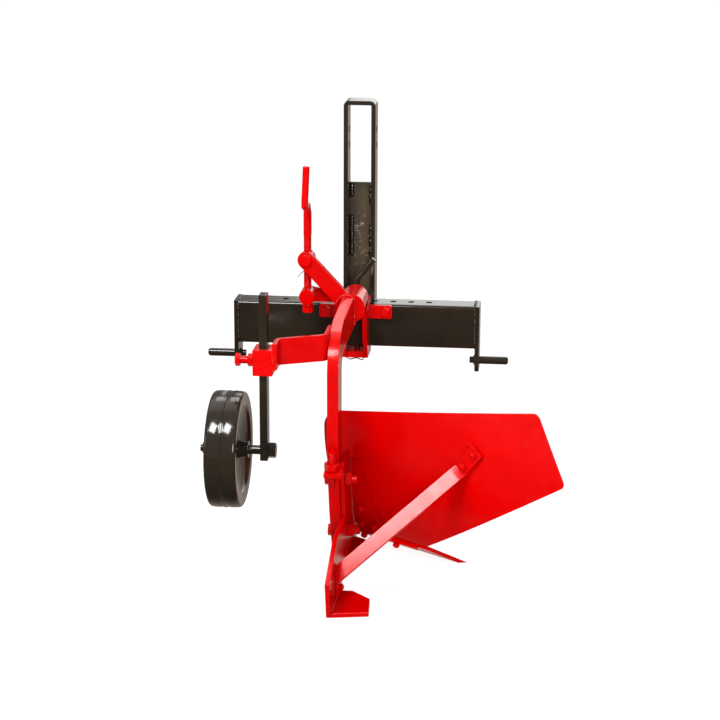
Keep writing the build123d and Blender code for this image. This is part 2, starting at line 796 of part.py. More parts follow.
wheel_r = wheel_d / 2
hub_r = hub_d / 2
for hand, sign, edge in (("left", -1, wheel_left), ("right", 1, wheel_right)):
    with BuildPart() as wheel_half:
        with BuildSketch(Plane(origin=(0, shank_y, axle_z), x_dir=(1, 0, 0), z_dir=(0, -1, 0))) as shell:
            polygon([(wheel_mid, wheel_r),
                     (edge, wheel_r),
                     (edge - sign * wheel_dish, hub_r + fit),
                     (edge - sign * (wheel_dish + wheel_sheet), hub_r + fit),
                     (edge - sign * wheel_sheet, wheel_r - wheel_sheet),
                     (wheel_mid, wheel_r - wheel_sheet)])
            outer = shell.vertices().sort_by_distance((edge, wheel_r))[0]
            fillet(outer, wheel_corner)
            with Locations((wheel_mid + sign * wheel_bead_width / 4, wheel_r)):
                Rectangle(wheel_bead_width / 2, 2 * wheel_bead)
        revolve(axis=Axis((0, shank_y, axle_z), (1, 0, 0)))
    save(wheel_half, f"wheel_half_{hand}")

with BuildPart() as wheel_hub:
    disc(Plane(origin=(hub_right, shank_y, axle_z), z_dir=leftwards), hub_d,
         hub_right - hub_left, bore=axle_d + 2 * run_gap)
save(wheel_hub, "wheel_hub")

# Plough body: lines of the share and the mouldboard
sole = -sole_drop
land_left = beam_right + landside_gap
land_right = land_left + landside_t
slant = sqrt(1 + share_slope ** 2)
board_low = sole + share_rise
board_high_z = sole + board_high


def edge_y(x):
    """Y of the share's cutting edge."""
    return -share_point_back - share_slope * (x - land_left)


def back_edge_y(x):
    """Y of the share's upper rear edge, where the mouldboard starts."""
    return edge_y(x) - share_run * slant


def board_arc(x):
    """Centre and radius of the working face's arc at a station, in Y and Z."""
    low_y = back_edge_y(x)
    high_y = -board_high_back - board_high_slope * (x - land_left)
    chord = hypot(high_y - low_y, board_high_z - board_low)
    radius = chord ** 2 / (8 * board_bulge) + board_bulge / 2
    reach = radius - board_bulge
    rear = ((board_low - board_high_z) / chord, (high_y - low_y) / chord)
    return ((low_y + high_y) / 2 - rear[0] * reach, (board_low + board_high_z) / 2 - rear[1] * reach, radius)


def board_y(x, z, behind=0.0):
    """Y of the mouldboard at a station and height, a distance behind its working face."""
    y, centre_z, radius = board_arc(x)
    return y - sqrt((radius + behind) ** 2 - (z - centre_z) ** 2)


def board_strip(x, near, far):
    """Section of a sheet that follows the mouldboard, between two distances behind its face."""
    y, z, radius = board_arc(x)
    low = atan2(board_low - z, back_edge_y(x) - y)
    high = atan2(board_high_z - z, board_y(x, board_high_z) - y) % radians(360)
    low = low % radians(360)
    ends = [[(y + (radius + d) * cos(a), z + (radius + d) * sin(a))
             for a in (low, (low + high) / 2, high)] for d in (near, far)]
    with BuildSketch(side(x)) as strip:
        with BuildLine():
            ThreePointArc(*ends[0])
            Line(ends[0][2], ends[1][2])
            ThreePointArc(*ends[1])
            Line(ends[1][0], ends[0][0])
        make_face()
    return strip.sketch.face()


def board_seat(x, z, behind):
    """Plane on a sheet behind the mouldboard, its normal pointing backwards."""
    step = 1.0
    slope_x = (board_y(x + step, z) - board_y(x - step, z)) / (2 * step)
    slope_z = (board_y(x, z + step) - board_y(x, z - step)) / (2 * step)
    normal = Vector(slope_x, -1, slope_z).normalized()
    face = Vector(x, board_y(x, z), z)
    return Plane(origin=face + normal * behind, x_dir=(1, slope_x, 0), z_dir=normal)


def countersunk_bolts(seats, d, grip):
    """Bolts from the working face through to nuts on the back."""
    for seat in seats:
        hexagon(seat, d, nut_height(d))
        disc(seat, d, -grip)


def bolt_holes(seats, d, depth):
    for seat in seats:
        disc(Plane(origin=seat.origin + seat.z_dir * depth, z_dir=-seat.z_dir), d + 2 * fit,
             2 * depth, mode=Mode.SUBTRACT)


saddle_back = board_t + saddle_gap + saddle_t
saddle_low = board_low + saddle_foot
saddle_top = sole + frog_top_height - saddle_head
bolt_margin = flats(body_bolt_d)
saddle_points = [(land_right + 2 * bolt_margin, saddle_low + 4 * bolt_margin),
                 (land_right + 2 * bolt_margin, saddle_low + bolt_margin),
                 (land_right + 4 * bolt_margin, saddle_low + bolt_margin)]
saddle_bolts = [board_seat(x, z, saddle_back) for x, z in saddle_points]
brace_back = board_t + saddle_gap
head_z = sole + brace_head_height

head_seat = board_seat(brace_head_x, head_z, brace_back)
foot_point = Vector(land_right + brace_t / 2, -brace_foot_back,
                    sole + brace_foot_low + brace_foot_height - brace_t)
run = head_seat.origin - foot_point
along = (run - head_seat.z_dir * run.dot(head_seat.z_dir)).normalized()
head_plane = Plane(origin=head_seat.origin, x_dir=along, z_dir=head_seat.z_dir)
brace_bolt_seats = [Plane(origin=head_plane.origin + along * (sign * brace_bolt_pitch / 2)
                          + head_plane.z_dir * brace_t,
                          x_dir=along, z_dir=head_plane.z_dir) for sign in (-1, 1)]

reach_x = board_tail_x + board_low_corner
front_y = edge_y(land_left)
with BuildPart() as mouldboard:
    loft([board_strip(x, 0, board_t) for x in (land_left - 2 * board_shin_lean, reach_x)], ruled=True)
    with BuildSketch(upright(front_y)) as blank:
        low_point = (board_low_x, board_low + board_joint)
        tail_point = (board_tail_x, sole + board_tail_height)
        top_point = (board_top_x, sole + board_top_height)
        left_point = (land_left - board_shin_lean, sole + board_left_height)
        with BuildLine():
            Line((land_left, board_low + board_joint), low_point)
            SagittaArc(low_point, tail_point, board_edge_sag)
            Polyline(tail_point, top_point, left_point)
            SagittaArc(left_point, (land_left, board_low + board_joint), -board_shin_sag)
        make_face()
        fillet(blank.vertices().sort_by_distance(tail_point)[0], board_low_corner)
        fillet(blank.vertices().sort_by_distance(top_point)[0], board_top_corner)
        fillet(blank.vertices().sort_by_distance(left_point)[0], board_shin_corner)
    extrude(amount=2 * reach_x, mode=Mode.INTERSECT)
    bolt_holes(saddle_bolts, body_bolt_d, 2 * saddle_back)
    bolt_holes(brace_bolt_seats, body_bolt_d, 2 * saddle_back)
save(mouldboard, "mouldboard")

with BuildPart() as frog_saddle:
    loft([board_strip(x, board_t + saddle_gap, saddle_back)
          for x in (land_right, land_right + 2 * saddle_low_width)], ruled=True)
    with BuildSketch(upright(front_y)):
        with BuildLine():
            Line((land_right, saddle_low), (land_right, saddle_top))
            Line((land_right, saddle_top), (land_right + saddle_top_width, saddle_top))
            SagittaArc((land_right + saddle_top_width, saddle_top),
                       (land_right + saddle_low_width, saddle_low), -saddle_edge_sag)
            Line((land_right + saddle_low_width, saddle_low), (land_right, saddle_low))
        make_face()
    extrude(amount=2 * reach_x, mode=Mode.INTERSECT)
    bolt_holes(saddle_bolts, body_bolt_d, 2 * saddle_back)
save(frog_saddle, "frog_saddle")

with BuildPart() as mouldboard_bolts:
    countersunk_bolts(saddle_bolts, body_bolt_d, saddle_back)
save(mouldboard_bolts, "mouldboard_bolts")

# Share and its seat, drawn across the cutting edge and run along it
edge_dir = Vector(1, -share_slope, 0).normalized()
share_tilt = atan2(share_rise, share_run)
share_down = (share_t * sin(share_tilt), -share_t * cos(share_tilt))
edge_plane = Plane(origin=(share_wing_x, edge_y(share_wing_x), sole),
                   x_dir=(-share_slope, -1, 0), z_dir=-edge_dir)
edge_length = (share_wing_x - land_left) * slant + 2 * share_run
seat_rise = seat_run * tan(share_tilt)


def share_bolt_seat(x):
    """Plane under the seat, its normal pointing down and back, at a station along the share."""
    middle = Vector(x, edge_y(x), sole) + Vector(*edge_plane.x_dir) * (share_run - seat_run / 2)
    middle = middle + Vector(0, 0, (share_run - seat_run / 2) * tan(share_tilt))
    down = Vector(*edge_plane.x_dir) * sin(share_tilt) + Vector(0, 0, -cos(share_tilt))
    return Plane(origin=middle + down * (share_t + saddle_gap + seat_t), z_dir=down)


share_bolt_seats = [share_bolt_seat(land_right + seat_length * share) for share in seat_bolt_stations]

with BuildPart() as share_blade:
    with BuildSketch(edge_plane) as section:
        polygon([(0, 0), (share_run, share_rise),
                 (share_run + share_down[0], share_rise + share_down[1]),
                 (share_t / sin(share_tilt), 0)])
    extrude(amount=edge_length)
    with BuildSketch(level(sole)):
        cut_x = share_wing_x - share_wing_cut
        polygon([(land_left, edge_y(land_left) + share_t),
                 (share_wing_x, edge_y(share_wing_x)),
                 (cut_x, back_edge_y(cut_x)),
                 (cut_x - share_t, back_edge_y(cut_x - share_t) - share_t),
                 (land_left, back_edge_y(land_left) - share_t)])
    extrude(amount=share_rise, mode=Mode.INTERSECT)
    bolt_holes(share_bolt_seats, body_bolt_d, 2 * (share_t + seat_t))
save(share_blade, "share")

gap_down = (saddle_gap * sin(share_tilt), -saddle_gap * cos(share_tilt))
with BuildPart() as share_seat:
    with BuildSketch(edge_plane):
        seat_top = (share_run + share_down[0] + gap_down[0], share_rise + share_down[1] + gap_down[1])
        seat_thick = (seat_t * sin(share_tilt), -seat_t * cos(share_tilt))
        polygon([seat_top,
                 (seat_top[0] + seat_thick[0], seat_top[1] + seat_thick[1]),
                 (seat_top[0] + seat_thick[0] - seat_run, seat_top[1] + seat_thick[1] - seat_rise),
                 (seat_top[0] - seat_run, seat_top[1] - seat_rise)])
    extrude(amount=edge_length)
    with BuildSketch(level(sole)):
        with Locations((land_right + seat_length / 2, front_y - reach_x / 2)):
            Rectangle(seat_length, reach_x + 4 * share_run)
    extrude(amount=share_rise, mode=Mode.INTERSECT)
    bolt_holes(share_bolt_seats, body_bolt_d, 2 * (share_t + seat_t))
save(share_seat, "share_seat")

with BuildPart() as share_bolts:
    countersunk_bolts(share_bolt_seats, body_bolt_d, share_t + seat_t)
save(share_bolts, "share_bolts")

# Place of the pitch stud behind the leg
leg_rear_r = leg_bend + half_depth
stud_x = (beam_left + beam_right) / 2
stud_up = Vector(0, -sin(radians(pitch_stud_angle)), cos(radians(pitch_stud_angle)))
to_leg = Vector(0, stud_up.Z, -stud_up.Y)
stud_mid = Vector(stud_x, *leg_point(leg_rear_r + pitch_stud_off, pitch_stud_angle))


def stud_plane(along_stud, toward_leg=0.0):
    """Plane across the pitch stud, its X to the right and its Y towards the leg."""
    return Plane(origin=stud_mid + stud_up * along_stud + to_leg * toward_leg,
                 x_dir=(1, 0, 0), z_dir=stud_up)


def stud_point(toward_leg, along_stud):
    """Point beside the pitch stud in Y and Z."""
    point = stud_plane(along_stud, toward_leg).origin
    return (point.Y, point.Z)


def leg_rear_y(z):
    """Y of the leg's rear face at a height on its lower arc."""
    return leg_centre_y - sqrt(leg_rear_r ** 2 - (z - leg_top_z) ** 2)


# Landside with the side of the frog
frog_top = sole + frog_top_height
frog_waist = sole + frog_waist_height
lug_nose = pitch_stud_off - lug_front
front_gap = board_t + saddle_gap
nose = Vector(land_right, edge_y(land_right), sole)
nose_back = back_edge_y(land_right) - share_t * slant
front_arc = [(board_y(land_right, z, front_gap + share_slope * landside_t), z)
             for z in (board_low + saddle_t, (board_low + frog_top) / 2, frog_top)]
bolt_radius = hypot(upper_bolt[0] - lower_bolt[0], upper_bolt[1] - lower_bolt[1])
bolt_angle = degrees(atan2(upper_bolt[1] - lower_bolt[1], upper_bolt[0] - lower_bolt[0]))
slot_swing = 2 * pitch_swing_angle
foot_bolt = (-brace_foot_back, sole + brace_foot_low + flats(body_bolt_d))

with BuildPart() as landside:
    with BuildSketch(side(land_left)):
        with BuildLine():
            ThreePointArc(*front_arc)
            Polyline(front_arc[2],
                     (leg_rear_y(frog_top) + frog_inset, frog_top),
                     (leg_rear_y(frog_waist) + frog_inset, frog_waist),
                     (-landside_knee_back, sole + landside_knee_height),
                     (-landside_rear - landside_lean, sole + landside_height),
                     (-landside_rear, sole),
                     (nose.Y - landside_toe, sole),
                     (nose_back, board_low - landside_chin),
                     front_arc[0])
        make_face()
        polygon([stud_point(lug_nose + lug_depth, -lug_t / 2), stud_point(lug_nose + lug_depth, lug_t / 2),
                 stud_point(lug_nose - lug_depth, lug_t / 2), stud_point(lug_nose - lug_depth, -lug_t / 2)])
        with Locations(lower_bolt):
            Circle(leg_bolt_d / 2 + run_gap, mode=Mode.SUBTRACT)
        with Locations(foot_bolt):
            Circle(body_bolt_d / 2 + fit, mode=Mode.SUBTRACT)
        with BuildLine(mode=Mode.PRIVATE) as slot_path:
            CenterArc(lower_bolt, bolt_radius, bolt_angle - slot_swing, 2 * slot_swing)
        SlotArc(slot_path.wire(), leg_bolt_d + 2 * part_gap, mode=Mode.SUBTRACT)
    extrude(amount=landside_t)
save(landside, "landside")

with BuildPart() as heel_plate:
    with BuildSketch(level(sole)):
        polygon([(land_right, -landside_rear),
                 (land_right + heel_width + heel_flare, -landside_rear + heel_rake),
                 (land_right + heel_width, -landside_rear + heel_side),
                 (land_right + heel_front, -landside_rear + heel_length),
                 (land_right, -landside_rear + heel_length)])
    extrude(amount=heel_t)
save(heel_plate, "heel_plate")

with BuildPart() as frog_sole:
    with BuildSketch(level(sole + frog_sole_lift)):
        sole_side = land_right + frog_sole_width
        polygon([(land_right, -frog_sole_front),
                 (sole_side, -frog_sole_front - share_slope * frog_sole_width),
                 (sole_side, -frog_sole_back + frog_sole_width),
                 (land_right, -frog_sole_back)])
    extrude(amount=frog_sole_t)
save(frog_sole, "frog_sole")

# Brace from the landside to the mouldboard, its flat side turned up
turned_up = Vector(0, -cos(radians(brace_tilt_angle)), sin(radians(brace_tilt_angle)))
head_end = head_plane.origin - along * (brace_head_length / 2) + head_plane.z_dir * (brace_t / 2)
bar_dir = (head_end - foot_point).normalized()
bar_normal = (turned_up - bar_dir * bar_dir.dot(turned_up)).normalized()
bar_end = head_end - bar_dir * brace_fold
bar_start = foot_point - bar_dir * brace_width


def bar_section(origin, way, flat_side):
    """Section of the brace across its run."""
    with BuildSketch(Plane(origin=origin, x_dir=flat_side, z_dir=way)) as section:
        Rectangle(brace_t, brace_width)
    return section.sketch.face()


with BuildPart() as brace:
    extrude(bar_section(bar_start, bar_dir, bar_normal), amount=(bar_end - bar_start).length)
    loft([bar_section(bar_end, bar_dir, bar_normal), bar_section(head_end, along, head_plane.z_dir)],
         ruled=True)
    with BuildSketch(head_plane):
        Rectangle(brace_head_length, brace_width)
    extrude(amount=brace_t)
    with BuildSketch(side(land_right)):
        with Locations((-brace_foot_back, sole + brace_foot_low + brace_foot_height / 2)):
            Rectangle(brace_foot_width, brace_foot_height)
    extrude(amount=brace_t)
    split(bisect_by=side(land_right), keep=Keep.TOP)
    bolt_holes(brace_bolt_seats, body_bolt_d, 2 * saddle_back)
    disc(Plane(origin=(land_left, *foot_bolt), z_dir=(1, 0, 0)), body_bolt_d + 2 * fit,
         landside_t + 2 * brace_t, mode=Mode.SUBTRACT)
save(brace, "brace")

with BuildPart() as brace_bolts:
    countersunk_bolts(brace_bolt_seats, body_bolt_d, brace_t + saddle_gap + board_t)
    hex_bolt(Plane(origin=(land_right + brace_t, *foot_bolt), z_dir=(1, 0, 0)),
             body_bolt_d, brace_t + landside_t)
save(brace_bolts, "brace_bolts")

# Leg bolts and the pitch setting
bolt_tail = part_gap + nut_height(leg_bolt_d) + leg_bolt_show
with BuildPart() as leg_bolts:
    for point in (upper_bolt, lower_bolt):
        hex_bolt(Plane(origin=(beam_left, *point), z_dir=(-1, 0, 0)),
                 leg_bolt_d, land_right - beam_left + bolt_tail)
save(leg_bolts, "leg_bolts")

with BuildPart() as leg_nuts:
    for point in (upper_bolt, lower_bolt):
        hexagon(Plane(origin=(land_right + part_gap, *point), z_dir=(1, 0, 0)),
                leg_bolt_d, nut_height(leg_bolt_d), bore=leg_bolt_d + 2 * fit)
save(leg_nuts, "leg_nuts")

stud_step = lug_t / 2 + pitch_nut_gap + nut_height(pitch_stud_d) / 4
with BuildPart() as pitch_stud:
    disc(stud_plane(stud_step), pitch_stud_d, pitch_stud_rise - stud_step)
    disc(stud_plane(-pitch_stud_fall), pitch_tail_d, pitch_stud_fall + stud_step)
save(pitch_stud, "pitch_stud")

with BuildPart() as stud_blocks:
    for low, d in ((-pitch_stud_fall, pitch_tail_d), (pitch_stud_rise - stud_block_height, pitch_stud_d)):
        with BuildSketch(stud_plane(low, pitch_stud_off / 2 + d / 4)):
            Rectangle(stud_block_width, pitch_stud_off + d / 2)
        extrude(amount=stud_block_height)
        disc(stud_plane(low), d + 2 * fit, stud_block_height, mode=Mode.SUBTRACT)
    disc(Plane(origin=(beam_left, leg_centre_y, leg_top_z), z_dir=(1, 0, 0)),
         2 * (leg_rear_r + fit), beam_t, mode=Mode.SUBTRACT)
save(stud_blocks, "stud_blocks")

lug_left = beam_left - lug_over
with BuildPart() as pitch_lug:
    with BuildSketch(stud_plane(-lug_t / 2)):
        with Locations(((lug_left + land_left) / 2 - stud_x, lug_nose - lug_depth / 2)):
            Rectangle(land_left - lug_left, lug_depth)
        slot_end = pitch_tail_d / 2 + lug_slot_travel
        with Locations((0, (lug_nose - slot_end) / 2)):
            Rectangle(pitch_tail_d + 2 * lug_slot_gap, lug_nose + slot_end, mode=Mode.SUBTRACT)
    extrude(amount=lug_t)
save(pitch_lug, "pitch_lug")

with BuildPart() as pitch_nuts:
    for way, d in ((1, pitch_stud_d), (-1, pitch_tail_d)):
        start = stud_mid + stud_up * (way * (lug_t / 2 + pitch_nut_gap))
        hexagon(Plane(origin=start, x_dir=(1, 0, 0), z_dir=stud_up * way), d,
                nut_height(d), bore=d + 2 * run_gap)
save(pitch_nuts, "pitch_nuts")
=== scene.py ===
"""Looks of a single furrow plough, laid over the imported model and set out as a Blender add-on."""

import json
import math

import bmesh
import bpy
import numpy as np
from bpy.props import FloatProperty, FloatVectorProperty, IntProperty, PointerProperty
from mathutils import Matrix, Vector


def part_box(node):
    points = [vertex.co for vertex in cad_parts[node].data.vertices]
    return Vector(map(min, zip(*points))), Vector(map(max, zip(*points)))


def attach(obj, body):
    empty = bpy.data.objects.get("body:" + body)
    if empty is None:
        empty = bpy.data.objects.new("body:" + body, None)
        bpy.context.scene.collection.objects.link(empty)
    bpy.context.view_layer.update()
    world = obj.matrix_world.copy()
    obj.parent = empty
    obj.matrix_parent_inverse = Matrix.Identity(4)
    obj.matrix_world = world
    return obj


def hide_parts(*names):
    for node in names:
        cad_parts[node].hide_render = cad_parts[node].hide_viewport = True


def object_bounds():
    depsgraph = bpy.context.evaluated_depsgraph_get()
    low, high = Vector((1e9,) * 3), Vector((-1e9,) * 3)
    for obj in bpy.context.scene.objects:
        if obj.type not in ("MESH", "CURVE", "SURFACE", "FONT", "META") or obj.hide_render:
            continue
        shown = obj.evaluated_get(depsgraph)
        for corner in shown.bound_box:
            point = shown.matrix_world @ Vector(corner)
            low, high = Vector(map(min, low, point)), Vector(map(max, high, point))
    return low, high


bl_info = {
    "name": "Single Furrow Plough",
    "version": (1, 0, 0),
    "blender": (4, 5, 0),
    "location": "3D View > Sidebar > Plough",
    "description": "Paint, welds, threads, fasteners, wheel and studio for a mounted plough",
    "category": "Object",
}

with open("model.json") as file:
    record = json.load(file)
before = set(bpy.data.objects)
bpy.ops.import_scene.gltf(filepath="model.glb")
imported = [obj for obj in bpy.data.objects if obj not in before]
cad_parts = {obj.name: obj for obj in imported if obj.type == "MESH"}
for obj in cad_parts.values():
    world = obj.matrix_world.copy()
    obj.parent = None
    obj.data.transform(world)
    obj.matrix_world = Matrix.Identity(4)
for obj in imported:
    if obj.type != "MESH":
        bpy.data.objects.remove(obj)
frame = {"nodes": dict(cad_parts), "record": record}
cad_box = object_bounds()
nodes = frame["nodes"]
record = frame["record"]
body_of = {node: body for body, members in record["behaviour"]["bodies"].items() for node in members}
slot_of = {row["node"]: row["material_slot"] for row in record["subparts"]}

MM = 0.001

# In metres: points nearer than SAME are one, points nearer to a plane than TOUCH lie in it
SAME, TOUCH = 2e-6, 1e-5

# Edges that turn by more than this are rounded
ROUNDED_PAST = math.radians(35)

FINISHES = {
    "red_paint": "Gloss Red Paint",
    "black_paint": "Gloss Black Paint",
    "mast_paint": "Scuffed Mast Paint",
    "bare_steel": "Plain Steel Wire",
}

# Plates and bars that get rounded edges, with the radius in millimetres
EDGES = {
    "end_plate_left": 1.6, "end_plate_right": 1.6, "mast_strap": 1.4, "mast_plate": 1.0,
    "bracket_cheek_left": 1.4, "bracket_cheek_right": 1.4, "bracket_ear_left": 1.2,
    "bracket_ear_right": 1.2, "bracket_top_tab": 1.2, "bracket_base_plate": 1.4,
    "pivot_sleeve": 1.2, "screw_plate": 1.2, "pivot_shaft": 1.2, "pivot_washer": 0.6,
    "beam": 1.6, "tilt_arm": 1.4, "wheel_arm": 1.4, "clamp_box": 1.6, "stud_blocks": 0.8,
    "lower_trunnion": 1.4, "upper_trunnion": 1.4,
    "wheel_shank": 1.4, "axle_washers": 0.8, "landside": 1.4, "heel_plate": 1.4, "frog_sole": 1.0,
    "frog_saddle": 2.6, "mouldboard": 1.4, "share": 0.4, "share_seat": 0.8, "brace": 1.2,
    "pitch_lug": 1.4, "locating_pin": 0.6, "screw_cap_nut": 2.5,
}

# Hex heads, loose nuts, and nuts that stand on a bolt's end
HEXES = {
    "ear_bolts": "head", "mouldboard_bolts": "bolted", "share_bolts": "bolted", "brace_bolts": "bolted",
    "leg_bolts": "head", "leg_nuts": "nut", "pivot_nut": "nut", "trunnion_nut": "nut",
    "clamp_bolt": "head", "clamp_jam_nut": "nut", "axle_nuts": "nut", "pitch_nuts": "nut",
}

# Noise scales of the coats, per metre
PATCH_SCALE, GRAIN_SCALE, WAVE_SCALE, PEEL_SCALE = 7.0, 38.0, 16.0, 340.0

# Height of the scuffs on the mast plate in metres, and their near and far reach
SCUFF_HEIGHT, SCUFF_NEAR, SCUFF_FAR = 0.31, 0.03, 0.11

# Studio panels: place and aim in metres, width and height
PANELS = {
    "key": ((-0.98, -2.74, 3.32), (0.15, -0.5, -0.3), (1.3, 1.3)),
    "fill": ((1.3, -4.6, 1.3), (0.0, -0.4, -0.1), (1.5, 1.1)),
    "top": ((-0.45, 4.05, 5.0), (0.0, -0.2, 0.1), (2.6, 1.8)),
    "window": ((-3.6, -2.6, 1.3), (-0.2, -0.5, -0.1), (0.7, 1.3)),
}
FLOOR_REACH = 40.0

# Share's upper edge in millimetres: its height, and its step up and back under the mouldboard
SHARE_TOP, SHARE_TUCK = -450.2, (-1.07, -1.45, 0.95)

# Bore of the wheel's hub, radius in millimetres
HUB_BORE = 12.1

# Size of the mast's beads against the others, and the depth of the ripples of both
MAST_BEAD_SIZE, MAST_RIPPLE, BEAD_RIPPLE = 1.7, 0.36, 0.3


class PaintSettings(bpy.types.PropertyGroup):
    """Colours and gloss of the finishes."""

    red: FloatVectorProperty(name="Red", description="Main coat of the beam and the body",
                             subtype="COLOR", size=4, min=0, max=1, default=(0.48, 0.0, 0.0, 1))
    red_deep: FloatVectorProperty(name="Deep Red", description="Thicker patches of the red coat",
                                  subtype="COLOR", size=4, min=0, max=1, default=(0.42, 0.0, 0.0, 1))
    black: FloatVectorProperty(name="Black", description="Main coat of the headstock and the wheel",
                               subtype="COLOR", size=4, min=0, max=1, default=(0.019, 0.014, 0.009, 1))
    black_deep: FloatVectorProperty(name="Deep Black", description="Thicker patches of the black coat",
                                    subtype="COLOR", size=4, min=0, max=1, default=(0.012, 0.009, 0.006, 1))
    mast: FloatVectorProperty(name="Mast", description="Thin dull coat on the mast's back plate",
                              subtype="COLOR", size=4, min=0, max=1, default=(0.068, 0.047, 0.024, 1))
    scuff: FloatVectorProperty(name="Scuff", description="Pale rubbed marks on the back plate",
                               subtype="COLOR", size=4, min=0, max=1, default=(0.34, 0.32, 0.29, 1))
    steel: FloatVectorProperty(name="Steel", description="Wire of the clip and the split pin",
                               subtype="COLOR", size=4, min=0, max=1, default=(0.30, 0.29, 0.28, 1))
    gloss: FloatProperty(name="Roughness", description="Roughness of the sprayed coats",
                         min=0, max=1, default=0.16)
    red_shine: FloatProperty(name="Red Shine", description="Mirror level of the red coat",
                             min=0, max=1, default=0.20)
    black_shine: FloatProperty(name="Black Shine", description="Mirror level of the black coat",
                               min=0, max=1, default=0.34)


class DetailSettings(bpy.types.PropertyGroup):
    """Sizes of the small forms."""

    weld_width: FloatProperty(name="Weld Width", description="Width of a weld bead",
                              unit="LENGTH", default=0.0075)
    weld_step: FloatProperty(name="Weld Step", description="Distance between the ripples of a bead",
                             unit="LENGTH", default=0.0042)
    thread_steps: IntProperty(name="Thread Steps", description="Steps round one turn of a thread",
                              min=8, max=64, default=28)
    wheel_steps: IntProperty(name="Wheel Steps", description="Steps round the wheel",
                             min=32, max=256, default=144)
    seam_height: FloatProperty(name="Seam Height", description="Height of the wheel's middle seam",
                               unit="LENGTH", default=0.0015)
    wire: FloatProperty(name="Wire", description="Diameter of the clip's and split pin's wire",
                        unit="LENGTH", default=0.0034)


class StageSettings(bpy.types.PropertyGroup):
    """Camera, floor and light."""

    camera: FloatVectorProperty(name="Camera", description="Place of the camera", subtype="TRANSLATION",
                                unit="LENGTH", size=3, default=(0.58475, -5.49035, 1.46821))
    azimuth: FloatProperty(name="Azimuth", description="Turn of the view about the upright",
                           subtype="ANGLE", default=math.radians(6.0))
    elevation: FloatProperty(name="Elevation", description="Downward tilt of the view",
                             subtype="ANGLE", default=math.radians(15.0))
    roll: FloatProperty(name="Roll", description="Turn about the line of sight",
                        subtype="ANGLE", default=math.radians(0.2))
    lens: FloatProperty(name="Lens", description="Focal length in millimetres", default=102.0)
    floor: FloatVectorProperty(name="Floor", description="Colour of the floor", subtype="COLOR",
                               size=4, min=0, max=1, default=(0.16, 0.16, 0.16, 1))
    glow: FloatProperty(name="Floor Glow", description="Brightness of the lit floor", default=0.90)
    sky: FloatProperty(name="Walls", description="Brightness of the studio walls", default=0.25)
    far: FloatProperty(name="Far", description="Brightness of the wall at the far side", default=1.75)
    ground: FloatProperty(name="Ground", description="Brightness of the ground ahead, in the gloss",
                          default=0.5)
    key: FloatProperty(name="Key", description="Power of the softbox at the upper left in watts",
                       default=190.0)
    fill: FloatProperty(name="Fill", description="Power of the panel beside the camera in watts",
                        default=140.0)
    top: FloatProperty(name="Top", description="Power of the panel over the far side in watts",
                       default=52.0)
    window: FloatProperty(name="Window", description="Power of the window at the left in watts",
                          default=25.0)


# Helpers

def add_node(tree, kind, inputs=None, **settings):
    """New node, its inputs given by name or number as values or as outputs to link."""
    node = tree.nodes.new(kind)
    for key, value in settings.items():
        setattr(node, key, value)
    for key, value in (inputs or {}).items():
        if isinstance(value, bpy.types.NodeSocket):
            tree.links.new(value, node.inputs[key])
        else:
            node.inputs[key].default_value = value
    return node


def link_object(name, data):
    """New object in the scene."""
    made = bpy.data.objects.new(name, data)
    bpy.context.scene.collection.objects.link(made)
    return made


def settle(piece, body, slot, *stands_for):
    """Give a finished piece the coat of its slot, hang it under its body, and hide the nodes that it stands
    for.
    """
    piece.data.materials.clear()
    piece.data.materials.append(bpy.data.materials[FINISHES[slot]])
    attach(piece, body)
    if stands_for:
        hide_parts(*stands_for)
    return piece


def shade(mesh, angle=math.radians(32)):
    """Smooth shading that keeps the edges sharper than an angle."""
    bm = bmesh.new()
    bm.from_mesh(mesh)
    for face in bm.faces:
        face.smooth = True
    for edge in bm.edges:
        edge.smooth = len(edge.link_faces) == 2 and edge.calc_face_angle(math.pi) < angle
    bm.to_mesh(mesh)
    bm.free()


def bake_modifiers(piece):
    """Turn a piece and its modifiers into a plain mesh."""
    depsgraph = bpy.context.evaluated_depsgraph_get()
    made = bpy.data.meshes.new_from_object(piece.evaluated_get(depsgraph))
    made.name = piece.name
    piece.modifiers.clear()
    piece.data = made
    return piece


def merged(name):
    """Welded copy of a CAD node."""
    bm = bmesh.new()
    bm.from_mesh(nodes[name].data)
    for layer in list(bm.loops.layers.float_vector.values()):
        bm.loops.layers.float_vector.remove(layer)
    bmesh.ops.remove_doubles(bm, verts=bm.verts, dist=SAME)
    return bm


def clear_normals(mesh):
    """Drop the imported normals, so that the shading follows the new faces."""
    found = mesh.attributes.get("custom_normal")
    if found:
        mesh.attributes.remove(found)


def tuck_share(bm):
    """Bring the share's upper rear edge up under the mouldboard, so that no light shows between them."""
    for vert in bm.verts:
        if vert.co.z > SHARE_TOP * MM:
            vert.co += Vector(SHARE_TUCK) * MM


def rounded_copy(name, radius):
    """Copy of a CAD node with its sharp edges rounded."""
    bm = merged(name)
    bmesh.ops.dissolve_limit(bm, angle_limit=math.radians(0.1), verts=bm.verts[:], edges=bm.edges[:])
    if name == "share":
        tuck_share(bm)
    mesh = bpy.data.meshes.new(f"{name}_dressed")
    bm.to_mesh(mesh)
    bm.free()
    clear_normals(mesh)
    piece = link_object(mesh.name, mesh)
    edge = piece.modifiers.new("edge", "BEVEL")
    edge.width = radius
    edge.segments = 2
    edge.limit_method = "ANGLE"
    edge.angle_limit = ROUNDED_PAST
    edge.use_clamp_overlap = False
    bake_modifiers(piece)
    shade(piece.data, math.radians(40))
    flats = piece.modifiers.new("flats", "WEIGHTED_NORMAL")
    flats.keep_sharp = True
    return bake_modifiers(piece)


